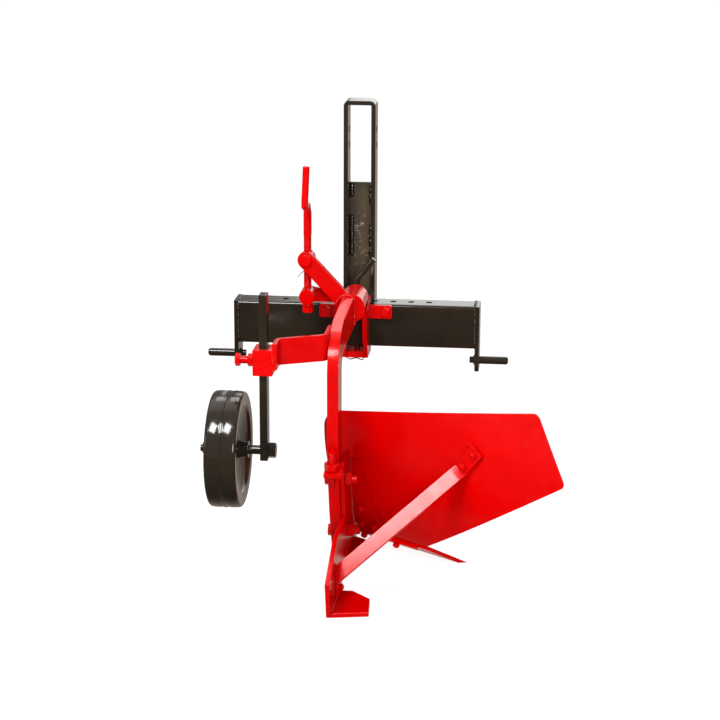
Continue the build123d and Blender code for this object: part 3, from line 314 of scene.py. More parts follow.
def lathe(bm, profile, steps, origin, axis, closed=True):
    """Ring surface from (along, radius) pairs turned about an axis through a point."""
    axis = Vector(axis).normalized()
    first = axis.orthogonal().normalized()
    second = axis.cross(first)
    rings = []
    for along, radius in profile:
        ring = []
        for step in range(steps):
            turn = 2 * math.pi * step / steps
            out = first * math.cos(turn) + second * math.sin(turn)
            ring.append(bm.verts.new(Vector(origin) + axis * along + out * radius))
        rings.append(ring)
    pairs = list(zip(rings, rings[1:]))
    if closed:
        pairs.append((rings[-1], rings[0]))
    for one, two in pairs:
        for step in range(steps):
            after = (step + 1) % steps
            bm.faces.new((one[step], one[after], two[after], two[step]))
    if not closed:
        bm.faces.new(rings[0][::-1])
        bm.faces.new(rings[-1])
    return rings


def piece_from(bm, name, angle=math.radians(32)):
    """Object from a bmesh, with its faces turned outwards."""
    bmesh.ops.recalc_face_normals(bm, faces=bm.faces[:])
    mesh = bpy.data.meshes.new(name)
    bm.to_mesh(mesh)
    bm.free()
    shade(mesh, angle)
    return link_object(name, mesh)


def new_tree(name, sockets):
    """Geometry node group with a geometry input, named inputs and a geometry output."""
    tree = bpy.data.node_groups.new(name, "GeometryNodeTree")
    tree.interface.new_socket("Geometry", in_out="INPUT", socket_type="NodeSocketGeometry")
    tree.interface.new_socket("Geometry", in_out="OUTPUT", socket_type="NodeSocketGeometry")
    for label, kind in sockets:
        tree.interface.new_socket(label, in_out="INPUT", socket_type=kind)
    return tree


def end_tree(tree, geometry, finish):
    """Close a tree with real geometry in one finish."""
    real = add_node(tree, "GeometryNodeRealizeInstances", {"Geometry": geometry})
    coat = add_node(tree, "GeometryNodeSetMaterial", {"Geometry": real.outputs[0], "Material": finish})
    out = tree.nodes.new("NodeGroupOutput")
    tree.links.new(coat.outputs[0], out.inputs[0])


def run_tree(tree, name, mesh, values):
    """Object with the plain mesh that a tree makes from a mesh."""
    piece = link_object(name, mesh)
    modifier = piece.modifiers.new(name, "NODES")
    modifier.node_group = tree
    for item in tree.interface.items_tree:
        if item.in_out == "INPUT" and item.name in values:
            modifier[item.identifier] = values[item.name]
    return bake_modifiers(piece)


def math_node(tree, operation, one, two=0.0):
    """Output of one sum on two numbers."""
    return add_node(tree, "ShaderNodeMath", {0: one, 1: two}, operation=operation).outputs[0]


# Finishes

def paint(name, colour, deep, roughness, shine, peel, wave):
    """Sprayed coat with patches, uneven gloss, orange peel and a slight wave."""
    material = bpy.data.materials.new(name)
    material.use_nodes = True
    tree = material.node_tree
    tree.nodes.clear()
    where = add_node(tree, "ShaderNodeTexCoord").outputs["Object"]
    patches = add_node(tree, "ShaderNodeTexNoise", {"Vector": where, "Scale": PATCH_SCALE, "Detail": 4.0})
    spread = add_node(tree, "ShaderNodeMapRange", {0: patches.outputs[0], 1: 0.36, 2: 0.66})
    tint = colour_mix(tree, spread.outputs[0], colour, deep)
    grain = add_node(tree, "ShaderNodeTexNoise", {"Vector": where, "Scale": GRAIN_SCALE, "Detail": 5.0})
    sheen = add_node(tree, "ShaderNodeMapRange", {0: grain.outputs[0], 1: 0.3, 2: 0.7,
                                                  3: roughness - 0.04, 4: roughness + 0.06})
    slow = add_node(tree, "ShaderNodeTexNoise", {"Vector": where, "Scale": WAVE_SCALE, "Detail": 1.0})
    fine = add_node(tree, "ShaderNodeTexNoise", {"Vector": where, "Scale": PEEL_SCALE, "Detail": 2.0})
    swell = add_node(tree, "ShaderNodeBump", {
        "Strength": wave, "Distance": 0.004, "Height": slow.outputs[0]})
    skin = add_node(tree, "ShaderNodeBump", {
        "Strength": peel, "Distance": 0.0006, "Height": fine.outputs[0], "Normal": swell.outputs[0]})
    shader = add_node(tree, "ShaderNodeBsdfPrincipled", {
        "Roughness": sheen.outputs[0], "Normal": skin.outputs[0], "Specular IOR Level": shine})
    tree.links.new(tint, shader.inputs["Base Color"])
    add_node(tree, "ShaderNodeOutputMaterial", {"Surface": shader.outputs[0]})
    return tree, shader, where


def colour_mix(tree, factor, one, two):
    """Colour between two, each a value or an output."""
    mix = add_node(tree, "ShaderNodeMix", {0: factor}, data_type="RGBA")
    for key, value in ((6, one), (7, two)):
        if isinstance(value, bpy.types.NodeSocket):
            tree.links.new(value, mix.inputs[key])
        else:
            mix.inputs[key].default_value = value
    return next(out for out in mix.outputs if out.type == "RGBA")


def make_finishes(settings):
    """Mix the four finishes of the record's slots."""
    red, black = tuple(settings.red), tuple(settings.black)
    paint(FINISHES["red_paint"], red, tuple(settings.red_deep), settings.gloss,
          settings.red_shine, peel=0.04, wave=0.03)
    paint(FINISHES["black_paint"], black, tuple(settings.black_deep), settings.gloss - 0.06,
          settings.black_shine, peel=0.04, wave=0.03)
    scuffed(settings, black)
    wire_steel(tuple(settings.steel))


def scuffed(settings, black):
    """Thin dull coat with pale broken loops rubbed into it."""
    tree, shader, where = paint(FINISHES["mast_paint"], tuple(settings.mast), black,
                                settings.gloss + 0.22, settings.black_shine, peel=0.16, wave=0.06)
    coat = shader.inputs["Base Color"].links[0].from_socket
    place = add_node(tree, "ShaderNodeMapping", {
        "Vector": where, "Location": (0.0, 0.0, -SCUFF_HEIGHT), "Scale": (1.0, 0.2, 1.0)})
    away = add_node(tree, "ShaderNodeVectorMath", {0: place.outputs[0]}, operation="LENGTH")
    patch = add_node(tree, "ShaderNodeMapRange", {
        0: away.outputs["Value"], 1: SCUFF_NEAR, 2: SCUFF_FAR, 3: 1.0, 4: 0.0})
    wobble = add_node(tree, "ShaderNodeTexNoise", {"Vector": where, "Scale": 30.0, "Detail": 2.0})
    swung = add_node(tree, "ShaderNodeVectorMath", {
        0: wobble.outputs["Color"], 1: (0.03, 0.03, 0.03), 2: where}, operation="MULTIPLY_ADD")
    loops = add_node(tree, "ShaderNodeTexVoronoi", {"Vector": swung.outputs[0], "Scale": 62.0},
                     feature="DISTANCE_TO_EDGE")
    lines = add_node(tree, "ShaderNodeMapRange", {
        0: loops.outputs["Distance"], 1: 0.015, 2: 0.05, 3: 0.75, 4: 0.0})
    broken = add_node(tree, "ShaderNodeTexNoise", {"Vector": where, "Scale": 48.0, "Detail": 2.0})
    kept = add_node(tree, "ShaderNodeMapRange", {0: broken.outputs[0], 1: 0.48, 2: 0.60})
    rubbed = math_node(tree, "MULTIPLY", lines.outputs[0], kept.outputs[0])
    both = math_node(tree, "MULTIPLY", patch.outputs[0], rubbed)
    tree.links.new(colour_mix(tree, both, coat, tuple(settings.scuff)), shader.inputs["Base Color"])


def wire_steel(colour):
    """Drawn wire with a dull, uneven shine."""
    steel = bpy.data.materials.new(FINISHES["bare_steel"])
    steel.use_nodes = True
    tree = steel.node_tree
    tree.nodes.clear()
    where = add_node(tree, "ShaderNodeTexCoord").outputs["Object"]
    drawn = add_node(tree, "ShaderNodeTexNoise", {"Vector": where, "Scale": 900.0, "Detail": 2.0})
    dull = add_node(tree, "ShaderNodeMapRange", {0: drawn.outputs[0], 1: 0.3, 2: 0.7, 3: 0.28, 4: 0.46})
    tone = add_node(tree, "ShaderNodeTexNoise", {"Vector": where, "Scale": 160.0, "Detail": 3.0})
    dark = tuple(0.6 * value for value in colour[:3]) + (1.0,)
    shader = add_node(tree, "ShaderNodeBsdfPrincipled", {"Metallic": 1.0, "Roughness": dull.outputs[0]})
    tree.links.new(colour_mix(tree, tone.outputs[0], colour, dark), shader.inputs["Base Color"])
    add_node(tree, "ShaderNodeOutputMaterial", {"Surface": shader.outputs[0]})


# Hex fasteners

def hex_places(name):
    """Foot, axis, corner direction and sizes of each hex of a CAD node, read from its solids."""
    bm = merged(name)
    left, places = set(bm.verts), []
    while left:
        heap = [left.pop()]
        island = []
        while heap:
            vert = heap.pop()
            island.append(vert)
            for edge in vert.link_edges:
                other = edge.other_vert(vert)
                if other in left:
                    left.remove(other)
                    heap.append(other)
        places.append(read_hex(island))
    bm.free()
    return sorted(places, key=lambda place: tuple(round(value, 4) for value in place["foot"]))


def read_hex(island):
    """Place of one hex from the upright edges of its six corners."""
    edges = {edge.index: edge for vert in island for edge in vert.link_edges
             if abs(edge.calc_face_angle(0.0) - math.radians(60)) < 0.02}
    uprights = [edges[index].verts for index in sorted(edges)]
    axis = np.array(uprights[0][1].co - uprights[0][0].co)
    axis /= np.linalg.norm(axis)
    ends = np.array([sorted((np.array(vert.co) for vert in pair), key=lambda point: point @ axis)
                     for pair in uprights])
    low, high = ends[:, 0].mean(0), ends[:, 1].mean(0)
    height = np.linalg.norm(high - low)
    points = np.array([vert.co for vert in island])
    if ((points - low) @ axis).max() > height + TOUCH:
        axis, low = -axis, high
    reach = (points - low) @ axis
    spread = np.linalg.norm(points - low - np.outer(reach, axis), axis=1)
    corner = ends[0, 0] - low
    corner = corner - (corner @ axis) * axis
    shank = reach < -TOUCH
    return {"foot": low, "axis": axis, "corner": corner / np.linalg.norm(corner),
            "radius": spread.max(), "height": height, "grip": max(0.0, -reach.min()),
            "shank": spread[shank].max() if shank.any() else 0.0,
            "bore": 0.0 if shank.any() else spread.min()}


def hex_form(both_ends, bore):
    """Hex of corner radius 1 and height 1, chamfered on its top or on both ends, with a bore or none."""
    bm = bmesh.new()
    side, steps = math.cos(math.radians(30)), 48
    chamfer, slope = 0.8, math.tan(math.radians(29))
    rings = [[] for _ in range(8 if bore else 4)]
    for step in range(steps):
        turn = 2 * math.pi * step / steps
        off = (turn + math.pi / 6) % (math.pi / 3) - math.pi / 6
        radius = side / math.cos(math.pi / 6 - abs(off))
        inner, drop = min(radius, chamfer), max(0.0, radius - chamfer) * slope
        outline = [(inner, 0.0), (radius, drop)] if both_ends else [(radius, 0.0), (radius, 0.02)]
        outline += [(radius, 1 - drop), (inner, 1.0)]
        if bore:
            outline += [(1.08 * bore, 1.0), (bore, 0.95), (bore, 0.05), (1.08 * bore, 0.0)]
        for ring, (r, z) in zip(rings, outline):
            ring.append(bm.verts.new((r * math.cos(turn), r * math.sin(turn), z)))
    pairs = list(zip(rings, rings[1:]))
    if bore:
        pairs.append((rings[-1], rings[0]))
    for one, two in pairs:
        for step in range(steps):
            after = (step + 1) % steps
            bm.faces.new((one[step], one[after], two[after], two[step]))
    if not bore:
        bm.faces.new(rings[0][::-1])
        bm.faces.new(rings[-1])
    bmesh.ops.remove_doubles(bm, verts=bm.verts, dist=1e-6)
    return piece_from(bm, "hex_form", math.radians(25))


def round_form(profile):
    """Turned form on the upright axis."""
    bm = bmesh.new()
    lathe(bm, profile, 24, (0, 0, 0), (0, 0, 1), closed=False)
    return piece_from(bm, "round_form")


def named(tree, name, kind):
    """Output of a named attribute."""
    node = add_node(tree, "GeometryNodeInputNamedAttribute", {"Name": name}, data_type=kind)
    return next(out for out in node.outputs if out.enabled)


def fastener_tree():
    """Tree that sets a hex, its shank and its bolt end on each point."""
    tree = new_tree("Hex Fasteners", [("Hex", "NodeSocketObject"), ("Shank", "NodeSocketObject"),
                                      ("Bolt End", "NodeSocketObject"), ("Finish", "NodeSocketMaterial")])
    given = tree.nodes.new("NodeGroupInput")
    joined = tree.nodes.new("GeometryNodeJoinGeometry")
    for form, size in (("Hex", "hex_size"), ("Shank", "shank_size"), ("Bolt End", "end_size")):
        shape = add_node(tree, "GeometryNodeObjectInfo", {"Object": given.outputs[form]})
        spread = named(tree, size, "FLOAT_VECTOR")
        wanted = add_node(tree, "ShaderNodeVectorMath", {0: spread}, operation="LENGTH")
        shown = math_node(tree, "GREATER_THAN", wanted.outputs["Value"], 1e-6)
        placed = add_node(tree, "GeometryNodeInstanceOnPoints", {
            "Points": given.outputs["Geometry"], "Selection": shown,
            "Instance": shape.outputs["Geometry"], "Rotation": named(tree, "turn", "QUATERNION"),
            "Scale": spread})
        tree.links.new(placed.outputs[0], joined.inputs[0])
    end_tree(tree, joined.outputs[0], given.outputs["Finish"])
    return tree


def fastener_points(places, has_end):
    """Points with the turn and the sizes of each fastener."""
    mesh = bpy.data.meshes.new("fastener_points")
    mesh.from_pydata([tuple(place["foot"]) for place in places], [], [])
    mesh.attributes.new("turn", "QUATERNION", "POINT")
    for name in ("hex_size", "shank_size", "end_size"):
        mesh.attributes.new(name, "FLOAT_VECTOR", "POINT")
    made = mesh.attributes
    for index, place in enumerate(places):
        up, corner = Vector(place["axis"]), Vector(place["corner"])
        turned = Matrix((corner, up.cross(corner), up)).transposed()
        made["turn"].data[index].value = turned.to_quaternion()
        thick, end_share, stands_out = place["shank"], 0.96, 0.45
        made["hex_size"].data[index].vector = (place["radius"], place["radius"], place["height"])
        made["shank_size"].data[index].vector = (thick, thick, place["grip"]) if thick else (0, 0, 0)
        end = (end_share * thick, end_share * thick, place["height"] + stands_out * thick)
        made["end_size"].data[index].vector = end if has_end and thick else (0, 0, 0)
    return mesh


# Threads

def thread_tree():
    """Tree that winds a ridge round a core."""
    tree = new_tree("Thread", [("Diameter", "NodeSocketFloat"), ("Length", "NodeSocketFloat"),
                               ("Pitch", "NodeSocketFloat"), ("Steps", "NodeSocketInt"),
                               ("Finish", "NodeSocketMaterial")])
    given = tree.nodes.new("NodeGroupInput").outputs
    ridge_share = 0.30
    ridge = math_node(tree, "MULTIPLY", given["Pitch"], ridge_share)
    radius = math_node(tree, "SUBTRACT", math_node(tree, "MULTIPLY", given["Diameter"], 0.5), ridge)
    run = math_node(tree, "SUBTRACT", given["Length"], given["Pitch"])
    turns = math_node(tree, "DIVIDE", run, given["Pitch"])
    helix = add_node(tree, "GeometryNodeCurveSpiral", {
        "Resolution": given["Steps"], "Rotations": turns, "Start Radius": radius, "End Radius": radius,
        "Height": run})
    crest = add_node(tree, "GeometryNodeCurvePrimitiveCircle", {"Resolution": 6, "Radius": ridge})
    wound = add_node(tree, "GeometryNodeCurveToMesh", {
        "Curve": helix.outputs[0], "Profile Curve": crest.outputs[0], "Fill Caps": True})
    lift = add_node(tree, "ShaderNodeCombineXYZ", {"Z": math_node(tree, "MULTIPLY", given["Pitch"], 0.5)})
    raised = add_node(tree, "GeometryNodeTransform", {"Geometry": wound.outputs[0],
                                                      "Translation": lift.outputs[0]})
    core = add_node(tree, "GeometryNodeMeshCylinder", {"Vertices": given["Steps"], "Radius": radius,
                                                       "Depth": given["Length"]})
    half = add_node(tree, "ShaderNodeCombineXYZ", {"Z": math_node(tree, "MULTIPLY", given["Length"], 0.5)})
    stood = add_node(tree, "GeometryNodeTransform", {"Geometry": core.outputs[0],
                                                     "Translation": half.outputs[0]})
    joined = tree.nodes.new("GeometryNodeJoinGeometry")
    tree.links.new(raised.outputs[0], joined.inputs[0])
    tree.links.new(stood.outputs[0], joined.inputs[0])
    end_tree(tree, joined.outputs[0], given["Finish"])
    return tree


def threaded(tree, name, start, way, diameter, length, pitch, finish, steps):
    """Threaded length from a point along a direction."""
    empty = bpy.data.meshes.new(name)
    piece = run_tree(tree, name, empty, {"Diameter": diameter, "Length": length, "Pitch": pitch,
                                         "Steps": steps, "Finish": finish})
    turn = Vector(way).to_track_quat("Z", "Y").to_matrix().to_4x4()
    piece.data.transform(Matrix.Translation(Vector(start)) @ turn)
    shade(piece.data, math.radians(60))
    return piece


def join(name, parts):
    """One object from several, at the origin."""
    bm = bmesh.new()
    for part in parts:
        bm.from_mesh(part.data)
        bpy.data.objects.remove(part)
    mesh = bpy.data.meshes.new(name)
    bm.to_mesh(mesh)
    bm.free()
    return link_object(name, mesh)


# Welds

def weld_tree():
    """Tree that lays a rippled bead along each line of a mesh."""
    tree = new_tree("Weld Bead", [("Width", "NodeSocketFloat"), ("Step", "NodeSocketFloat"),
                                  ("Ripple", "NodeSocketFloat"), ("Finish", "NodeSocketMaterial")])
    sample_share, lump_scale, lump_size, low_share, end_share = 0.25, 95.0, 1.2, 0.66, 0.35
    given = tree.nodes.new("NodeGroupInput").outputs
    line = add_node(tree, "GeometryNodeMeshToCurve", {"Mesh": given["Geometry"]})
    spacing = math_node(tree, "MULTIPLY", given["Step"], sample_share)
    dense = add_node(tree, "GeometryNodeResampleCurve", {"Curve": line.outputs[0], "Length": spacing},
                     mode="LENGTH")
    run = tree.nodes.new("GeometryNodeSplineParameter").outputs["Length"]
    whole = tree.nodes.new("GeometryNodeSplineLength").outputs["Length"]
    ripple = math_node(tree, "FRACT", math_node(tree, "DIVIDE", run, given["Step"]))
    place = tree.nodes.new("GeometryNodeInputPosition").outputs[0]
    lumps = add_node(tree, "ShaderNodeTexNoise", {"Vector": place, "Scale": lump_scale, "Detail": 2.0})
    swell = math_node(tree, "MULTIPLY", math_node(tree, "SUBTRACT", lumps.outputs[0], 0.5), lump_size)
    core = math_node(tree, "SUBTRACT", 1.0, math_node(tree, "MULTIPLY", given["Ripple"], low_share))
    body = math_node(tree, "ADD", math_node(tree, "MULTIPLY", ripple, given["Ripple"]), core)
    body = math_node(tree, "ADD", body, swell)
    left = math_node(tree, "SUBTRACT", whole, run)
    near = math_node(tree, "DIVIDE", math_node(tree, "MINIMUM", run, left), given["Width"])
    taper = math_node(tree, "MINIMUM", math_node(tree, "ADD", near, end_share), 1.0)
    half = math_node(tree, "MULTIPLY", given["Width"], 0.5)
    radius = math_node(tree, "MULTIPLY", math_node(tree, "MULTIPLY", body, taper), half)
    ring = add_node(tree, "GeometryNodeCurvePrimitiveCircle", {"Resolution": 10, "Radius": 1.0})
    bead = add_node(tree, "GeometryNodeCurveToMesh", {"Curve": dense.outputs[0], "Scale": radius,
                                                      "Profile Curve": ring.outputs[0], "Fill Caps": True})
    smooth = add_node(tree, "GeometryNodeSetShadeSmooth", {"Geometry": bead.outputs[0]})
    end_tree(tree, smooth.outputs[0], given["Finish"])
    return tree


def arc(centre, radius, start, end, along, count=24):
    """Points in millimetres round a circle about the Y axis, angles from +X towards +Z."""
    return [(centre[0] + radius * math.cos(math.radians(start + (end - start) * i / count)), along,
             centre[1] + radius * math.sin(math.radians(start + (end - start) * i / count)))
            for i in range(count + 1)]


def weld_runs():
    """Lines of the welds in millimetres, for each body, coat and place."""
    plate_y = 100.5
    mast = [[(x, plate_y, high), (x, plate_y, low)]
            for x, spans in ((-26.5, ((474, 432), (384, 264))), (26.5, ((473, 411), (365, 260))))
            for high, low in spans]
    tube, bracket, pivot = [], [], (0, 182)
    for sign in (-1, 1):
        tube += [[(sign * 329, -39.4, 152), (sign * 329, -39.4, 48)],
                 [(sign * 329, 39.4, 152), (sign * 329, 39.4, 48)],
                 [(sign * 329, -32, 159.4), (sign * 329, 32, 159.4)],
                 [(sign * 329, -32, 40.6), (sign * 329, 32, 40.6)],
                 [(sign * 45, 41, 42), (sign * 45, 41, 158)],
                 [(sign * 31, 41, 161), (sign * 31, 41, 190)],
                 [(sign * 328.5, y, z) for y, _, z in arc((0, 0), 10.5, 0, 360, 0, 30)]]
        bracket += [[(sign * 35, -47, 171), (sign * 35.5, -103, 153)],
                    [(sign * 24, -62, 160), (sign * 24, -100, 152)],
                    [(sign * 37, -41.5, 124), (sign * 37, -41.5, 158)],
                    [(sign * 37, -51, 124), (sign * 37, -51, 150)],
                    [(sign * 23.4, -12, 170), (sign * 23.4, 26, 170)],
                    [(sign * 23.4, -58, 11.4), (sign * 23.4, -36, 11.4)]]
    bracket += [arc(pivot, 35.5, 128, 200, y) for y in (-110, -123.5)]
    joint = [[(-20, -186, 134), (-20, -186, 212), (-14, -186, 215.5),
              (7, -186, 215.5), (12, -186, 211), (12, -186, 134)],
             arc(pivot, 40, 100, 168, -184.8),
             arc(pivot, 40, 100, 168, -169.0),
             [(-34, -305, 98), (-34, -305, 162)],
             [(-162, -459, 82), (-162, -459, 145)],
             [(-162.5, -522, 82), (-162.5, -522, 144)],
             [(-161.6, -470, 96), (-161.6, -520, 96)]]
    ground = [[(10.5, -700, -487), (10.5, -545, -487)], [(-1, -704, -487), (9, -704, -487)]]
    return {("headstock", "black_paint", "mast"): mast, ("headstock", "black_paint", "tube"): tube,
            ("headstock", "red_paint", "bracket"): bracket, ("beam", "red_paint", "joint"): joint,
            ("plough_body", "red_paint", "ground"): ground}


def lines_mesh(name, lines):
    """Mesh of loose edges along lines of points in millimetres."""
    points, edges = [], []
    for line in lines:
        start = len(points)
        points += [Vector(point) * MM for point in line]
        edges += [(start + i, start + i + 1) for i in range(len(line) - 1)]
    mesh = bpy.data.meshes.new(name)
    mesh.from_pydata(points, edges, [])
    return mesh


# Wires

def wire_piece(name, runs, diameter):
    """Round wire along smooth runs of points in millimetres."""
    curve = bpy.data.curves.new(name, "CURVE")
    curve.dimensions = "3D"
    curve.bevel_depth = diameter / 2
    curve.bevel_resolution = 3
    curve.use_fill_caps = True
    for run in runs:
        spline = curve.splines.new("NURBS")
        spline.points.add(len(run) - 1)
        for point, place in zip(spline.points, run):
            point.co = (*(value * MM for value in place), 1.0)
        spline.order_u = 3
        spline.use_endpoint_u = True
        spline.resolution_u = 8
    carrier = link_object(f"{name}_line", curve)
    depsgraph = bpy.context.evaluated_depsgraph_get()
    mesh = bpy.data.meshes.new_from_object(carrier.evaluated_get(depsgraph))
    mesh.name = name
    bpy.data.objects.remove(carrier)
    shade(mesh, math.radians(50))
    return link_object(name, mesh)


# Wheel

def wheel_half(side, seam):
    """Outer and inner skin of one pressed half as (along, radius) pairs in millimetres from the middle."""
    crown = [(4.2 + 29.3 * part / 8, 152 - 1.1 * (part / 4 - 1) ** 2) for part in range(9)]
    corner = [(33.5 + 7.5 * math.sin(math.radians(turn)), 143.4 + 7.5 * math.cos(math.radians(turn)))
              for turn in range(10, 91, 10)]
    outer = [(0.0, 151.2 + seam), (1.8, 151.2 + seam), (2.8, 151.0 + 0.7 * seam), (3.6, 150.9)]
    outer += crown + corner
    outer += [(40.9, 139.0), (40.4, 128.0), (40.0, 119.5), (39.2, 116.6), (37.4, 114.2),
              (34.6, 111.6), (32.4, 107.0), (25.0, 80.0), (20.2, 62.0), (19.2, 56.0),
              (18.8, 41.0), (18.0, 38.6), (17.2, 38.0), (16.8, 33.0), (16.6, 23.2)]
    inner = [(12.6, 23.2), (13.0, 40.0), (14.8, 58.0), (19.8, 79.0), (27.4, 107.0),
             (33.6, 117.0), (36.0, 142.0), (33.0, 146.5), (0.0, 147.0)]
    return [(side * along * MM, radius * MM) for along, radius in outer + inner]


def hub_rings(half, bore):
    """Turned hub with two rings and a lip at each end as (along, radius) pairs in metres."""
    ends = [(0, 20.0), (1.0, 21.0), (4.0, 21.0), (5.0, 19.4), (7.0, 19.4), (8.0, 22.2), (10.8, 22.2),
            (11.8, 20.0), (13.8, 20.0), (14.8, 23.0)]
    right = [(half - along * MM, radius * MM) for along, radius in ends]
    left = [(-along, radius) for along, radius in right]
    inside = [(half, bore + MM), (half - MM, bore), (MM - half, bore), (-half, bore + MM)]
    return left + right[::-1] + inside


# Stage

def floor_finish(colour, glow):
    """Pale lit floor with the faintest mottle."""
    material = bpy.data.materials.new("Pale Floor")
    material.use_nodes = True
    tree = material.node_tree
    tree.nodes.clear()
    where = add_node(tree, "ShaderNodeTexCoord").outputs["Object"]
    mottle = add_node(tree, "ShaderNodeTexNoise", {"Vector": where, "Scale": 3.0, "Detail": 3.0})
    shift = add_node(tree, "ShaderNodeMapRange", {0: mottle.outputs[0], 1: 0.3, 2: 0.7, 3: 0.0, 4: 1.0})
    paler = tuple(min(1.0, value * 1.03) for value in colour[:3]) + (1.0,)
    shader = add_node(tree, "ShaderNodeBsdfPrincipled", {
        "Roughness": 0.85, "Specular IOR Level": 0.0, "Emission Color": (1.0, 1.0, 1.0, 1.0),
        "Emission Strength": glow})
    tree.links.new(colour_mix(tree, shift.outputs[0], colour, paler), shader.inputs["Base Color"])
    add_node(tree, "ShaderNodeOutputMaterial", {"Surface": shader.outputs[0]})
    return material


def studio_sky(tree, walls, far, ground):
    """Dim walls with a bright far side over a warm ground, and a plain pale backdrop behind the part."""
    tree.nodes.clear()
    way = add_node(tree, "ShaderNodeTexCoord").outputs["Generated"]
    x, y, z = add_node(tree, "ShaderNodeSeparateXYZ", {0: way}).outputs

    def step(value, low, high, start=0.0, end=1.0):
        """Smooth change from one level to another."""
        return add_node(tree, "ShaderNodeMapRange", {0: value, 1: low, 2: high, 3: start, 4: end},
                        interpolation_type="SMOOTHSTEP").outputs[0]

    ahead = math_node(tree, "MULTIPLY", step(y, 0.55, 0.8), step(x, -0.165, -0.075))
    ahead = math_node(tree, "MULTIPLY", ahead, step(z, 0.48, 0.62, far, 0.0))
    over = math_node(tree, "MULTIPLY", step(y, -0.05, 0.35), step(z, 0.6, 0.78, 0.0, 1.1))
    upper = math_node(tree, "ADD", step(z, 0.0, 1.0, walls, 2.0 * walls),
                      math_node(tree, "ADD", ahead, over))
    lower = step(y, 0.0, 0.7, 0.03, ground)
    above = step(z, -0.06, 0.02)
    level = add_node(tree, "ShaderNodeMix", {0: above, 2: lower, 3: upper})
    tone = colour_mix(tree, above, (1.0, 0.86, 0.76, 1.0), (1.0, 0.99, 0.96, 1.0))
    glow = add_node(tree, "ShaderNodeBackground", {"Color": tone, "Strength": level.outputs[0]})
    backdrop = add_node(tree, "ShaderNodeBackground", {"Color": (1.0, 1.0, 1.0, 1.0), "Strength": 1.0})
    seen = add_node(tree, "ShaderNodeLightPath").outputs["Is Camera Ray"]
    both = add_node(tree, "ShaderNodeMixShader", {0: seen, 1: glow.outputs[0], 2: backdrop.outputs[0]})
    add_node(tree, "ShaderNodeOutputWorld", {"Surface": both.outputs[0]})


# Operators, in the order in which they run

class PLOUGH_OT_stage(bpy.types.Operator):
    """Set the camera, the floor and the studio light"""
    bl_idname = "plough.stage"
    bl_label = "Stage"

    def execute(self, context):
        settings, scene = context.scene.plough_stage, context.scene
        scene.view_settings.view_transform = "Standard"
        turn, tilt = settings.azimuth, settings.elevation
        ahead = Vector((-math.sin(turn) * math.cos(tilt), math.cos(turn) * math.cos(tilt), -math.sin(tilt)))
        right = Vector((math.cos(turn), math.sin(turn), 0.0))
        up = right.cross(ahead)
        right, up = (right * math.cos(settings.roll) + up * math.sin(settings.roll),
                     up * math.cos(settings.roll) - right * math.sin(settings.roll))
        lens = bpy.data.cameras.new("camera")
        lens.lens = settings.lens
        lens.sensor_width = 36.0
        camera = link_object("camera", lens)
        camera.matrix_world = Matrix.Translation(settings.camera) @ Matrix(
            (right, up, -ahead)).transposed().to_4x4()
        scene.camera = camera

        low, wide = cad_box[0][2], FLOOR_REACH
        mesh = bpy.data.meshes.new("floor")
        mesh.from_pydata([(-wide, -wide, low), (wide, -wide, low), (wide, wide, low), (-wide, wide, low)],
                         [], [(0, 1, 2, 3)])
        floor = link_object("floor", mesh)
        mesh.materials.append(floor_finish(tuple(settings.floor), settings.glow))
        floor.visible_glossy = False

        world = bpy.data.worlds.new("studio")
        scene.world = world
        world.use_nodes = True
        studio_sky(world.node_tree, settings.sky, settings.far, settings.ground)
        for name, (place, aim, size) in PANELS.items():
            lamp = bpy.data.lights.new(name, "AREA")
            lamp.shape = "RECTANGLE"
            lamp.size, lamp.size_y = size
            lamp.energy = getattr(settings, name)
            light = link_object(name, lamp)
            light.location = place
            way = Vector(aim) - Vector(place)
            light.rotation_euler = way.to_track_quat("-Z", "Y").to_euler()
        return {"FINISHED"}


class PLOUGH_OT_paint(bpy.types.Operator):
    """Mix the finishes and coat every CAD node"""
    bl_idname = "plough.paint"
    bl_label = "Paint"

    def execute(self, context):
        make_finishes(context.scene.plough_paint)
        for name, node in nodes.items():
            node.data.materials.clear()
            node.data.materials.append(bpy.data.materials[FINISHES[slot_of[name]]])
        return {"FINISHED"}


class PLOUGH_OT_plates(bpy.types.Operator):
    """Round the edges of the plates and bars"""
    bl_idname = "plough.plates"
    bl_label = "Plates"

    def execute(self, context):
        for name, radius in EDGES.items():
            settle(rounded_copy(name, radius * MM), body_of[name], slot_of[name], name)
        return {"FINISHED"}


class PLOUGH_OT_wheel(bpy.types.Operator):
    """Turn the pressed wheel with its middle seam and its hub"""
    bl_idname = "plough.wheel"
    bl_label = "Wheel"

    def execute(self, context):
        settings = context.scene.plough_detail
        low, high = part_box("wheel_half_left"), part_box("wheel_half_right")
        middle = (Vector(low[0]) + Vector(high[1])) / 2
        for hand, side in (("left", -1), ("right", 1)):
            bm = bmesh.new()
            lathe(bm, wheel_half(side, settings.seam_height / MM), settings.wheel_steps, middle, (1, 0, 0))
            name = f"wheel_half_{hand}"
            settle(piece_from(bm, f"{name}_pressed"), "wheel", slot_of[name], name)
        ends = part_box("wheel_hub")
        half, hub_steps = (ends[1][0] - ends[0][0]) / 2, 64
        bm = bmesh.new()
        lathe(bm, hub_rings(half, HUB_BORE * MM), hub_steps, middle, (1, 0, 0))
        settle(piece_from(bm, "wheel_hub_turned"), "wheel", slot_of["wheel_hub"], "wheel_hub")
        return {"FINISHED"}


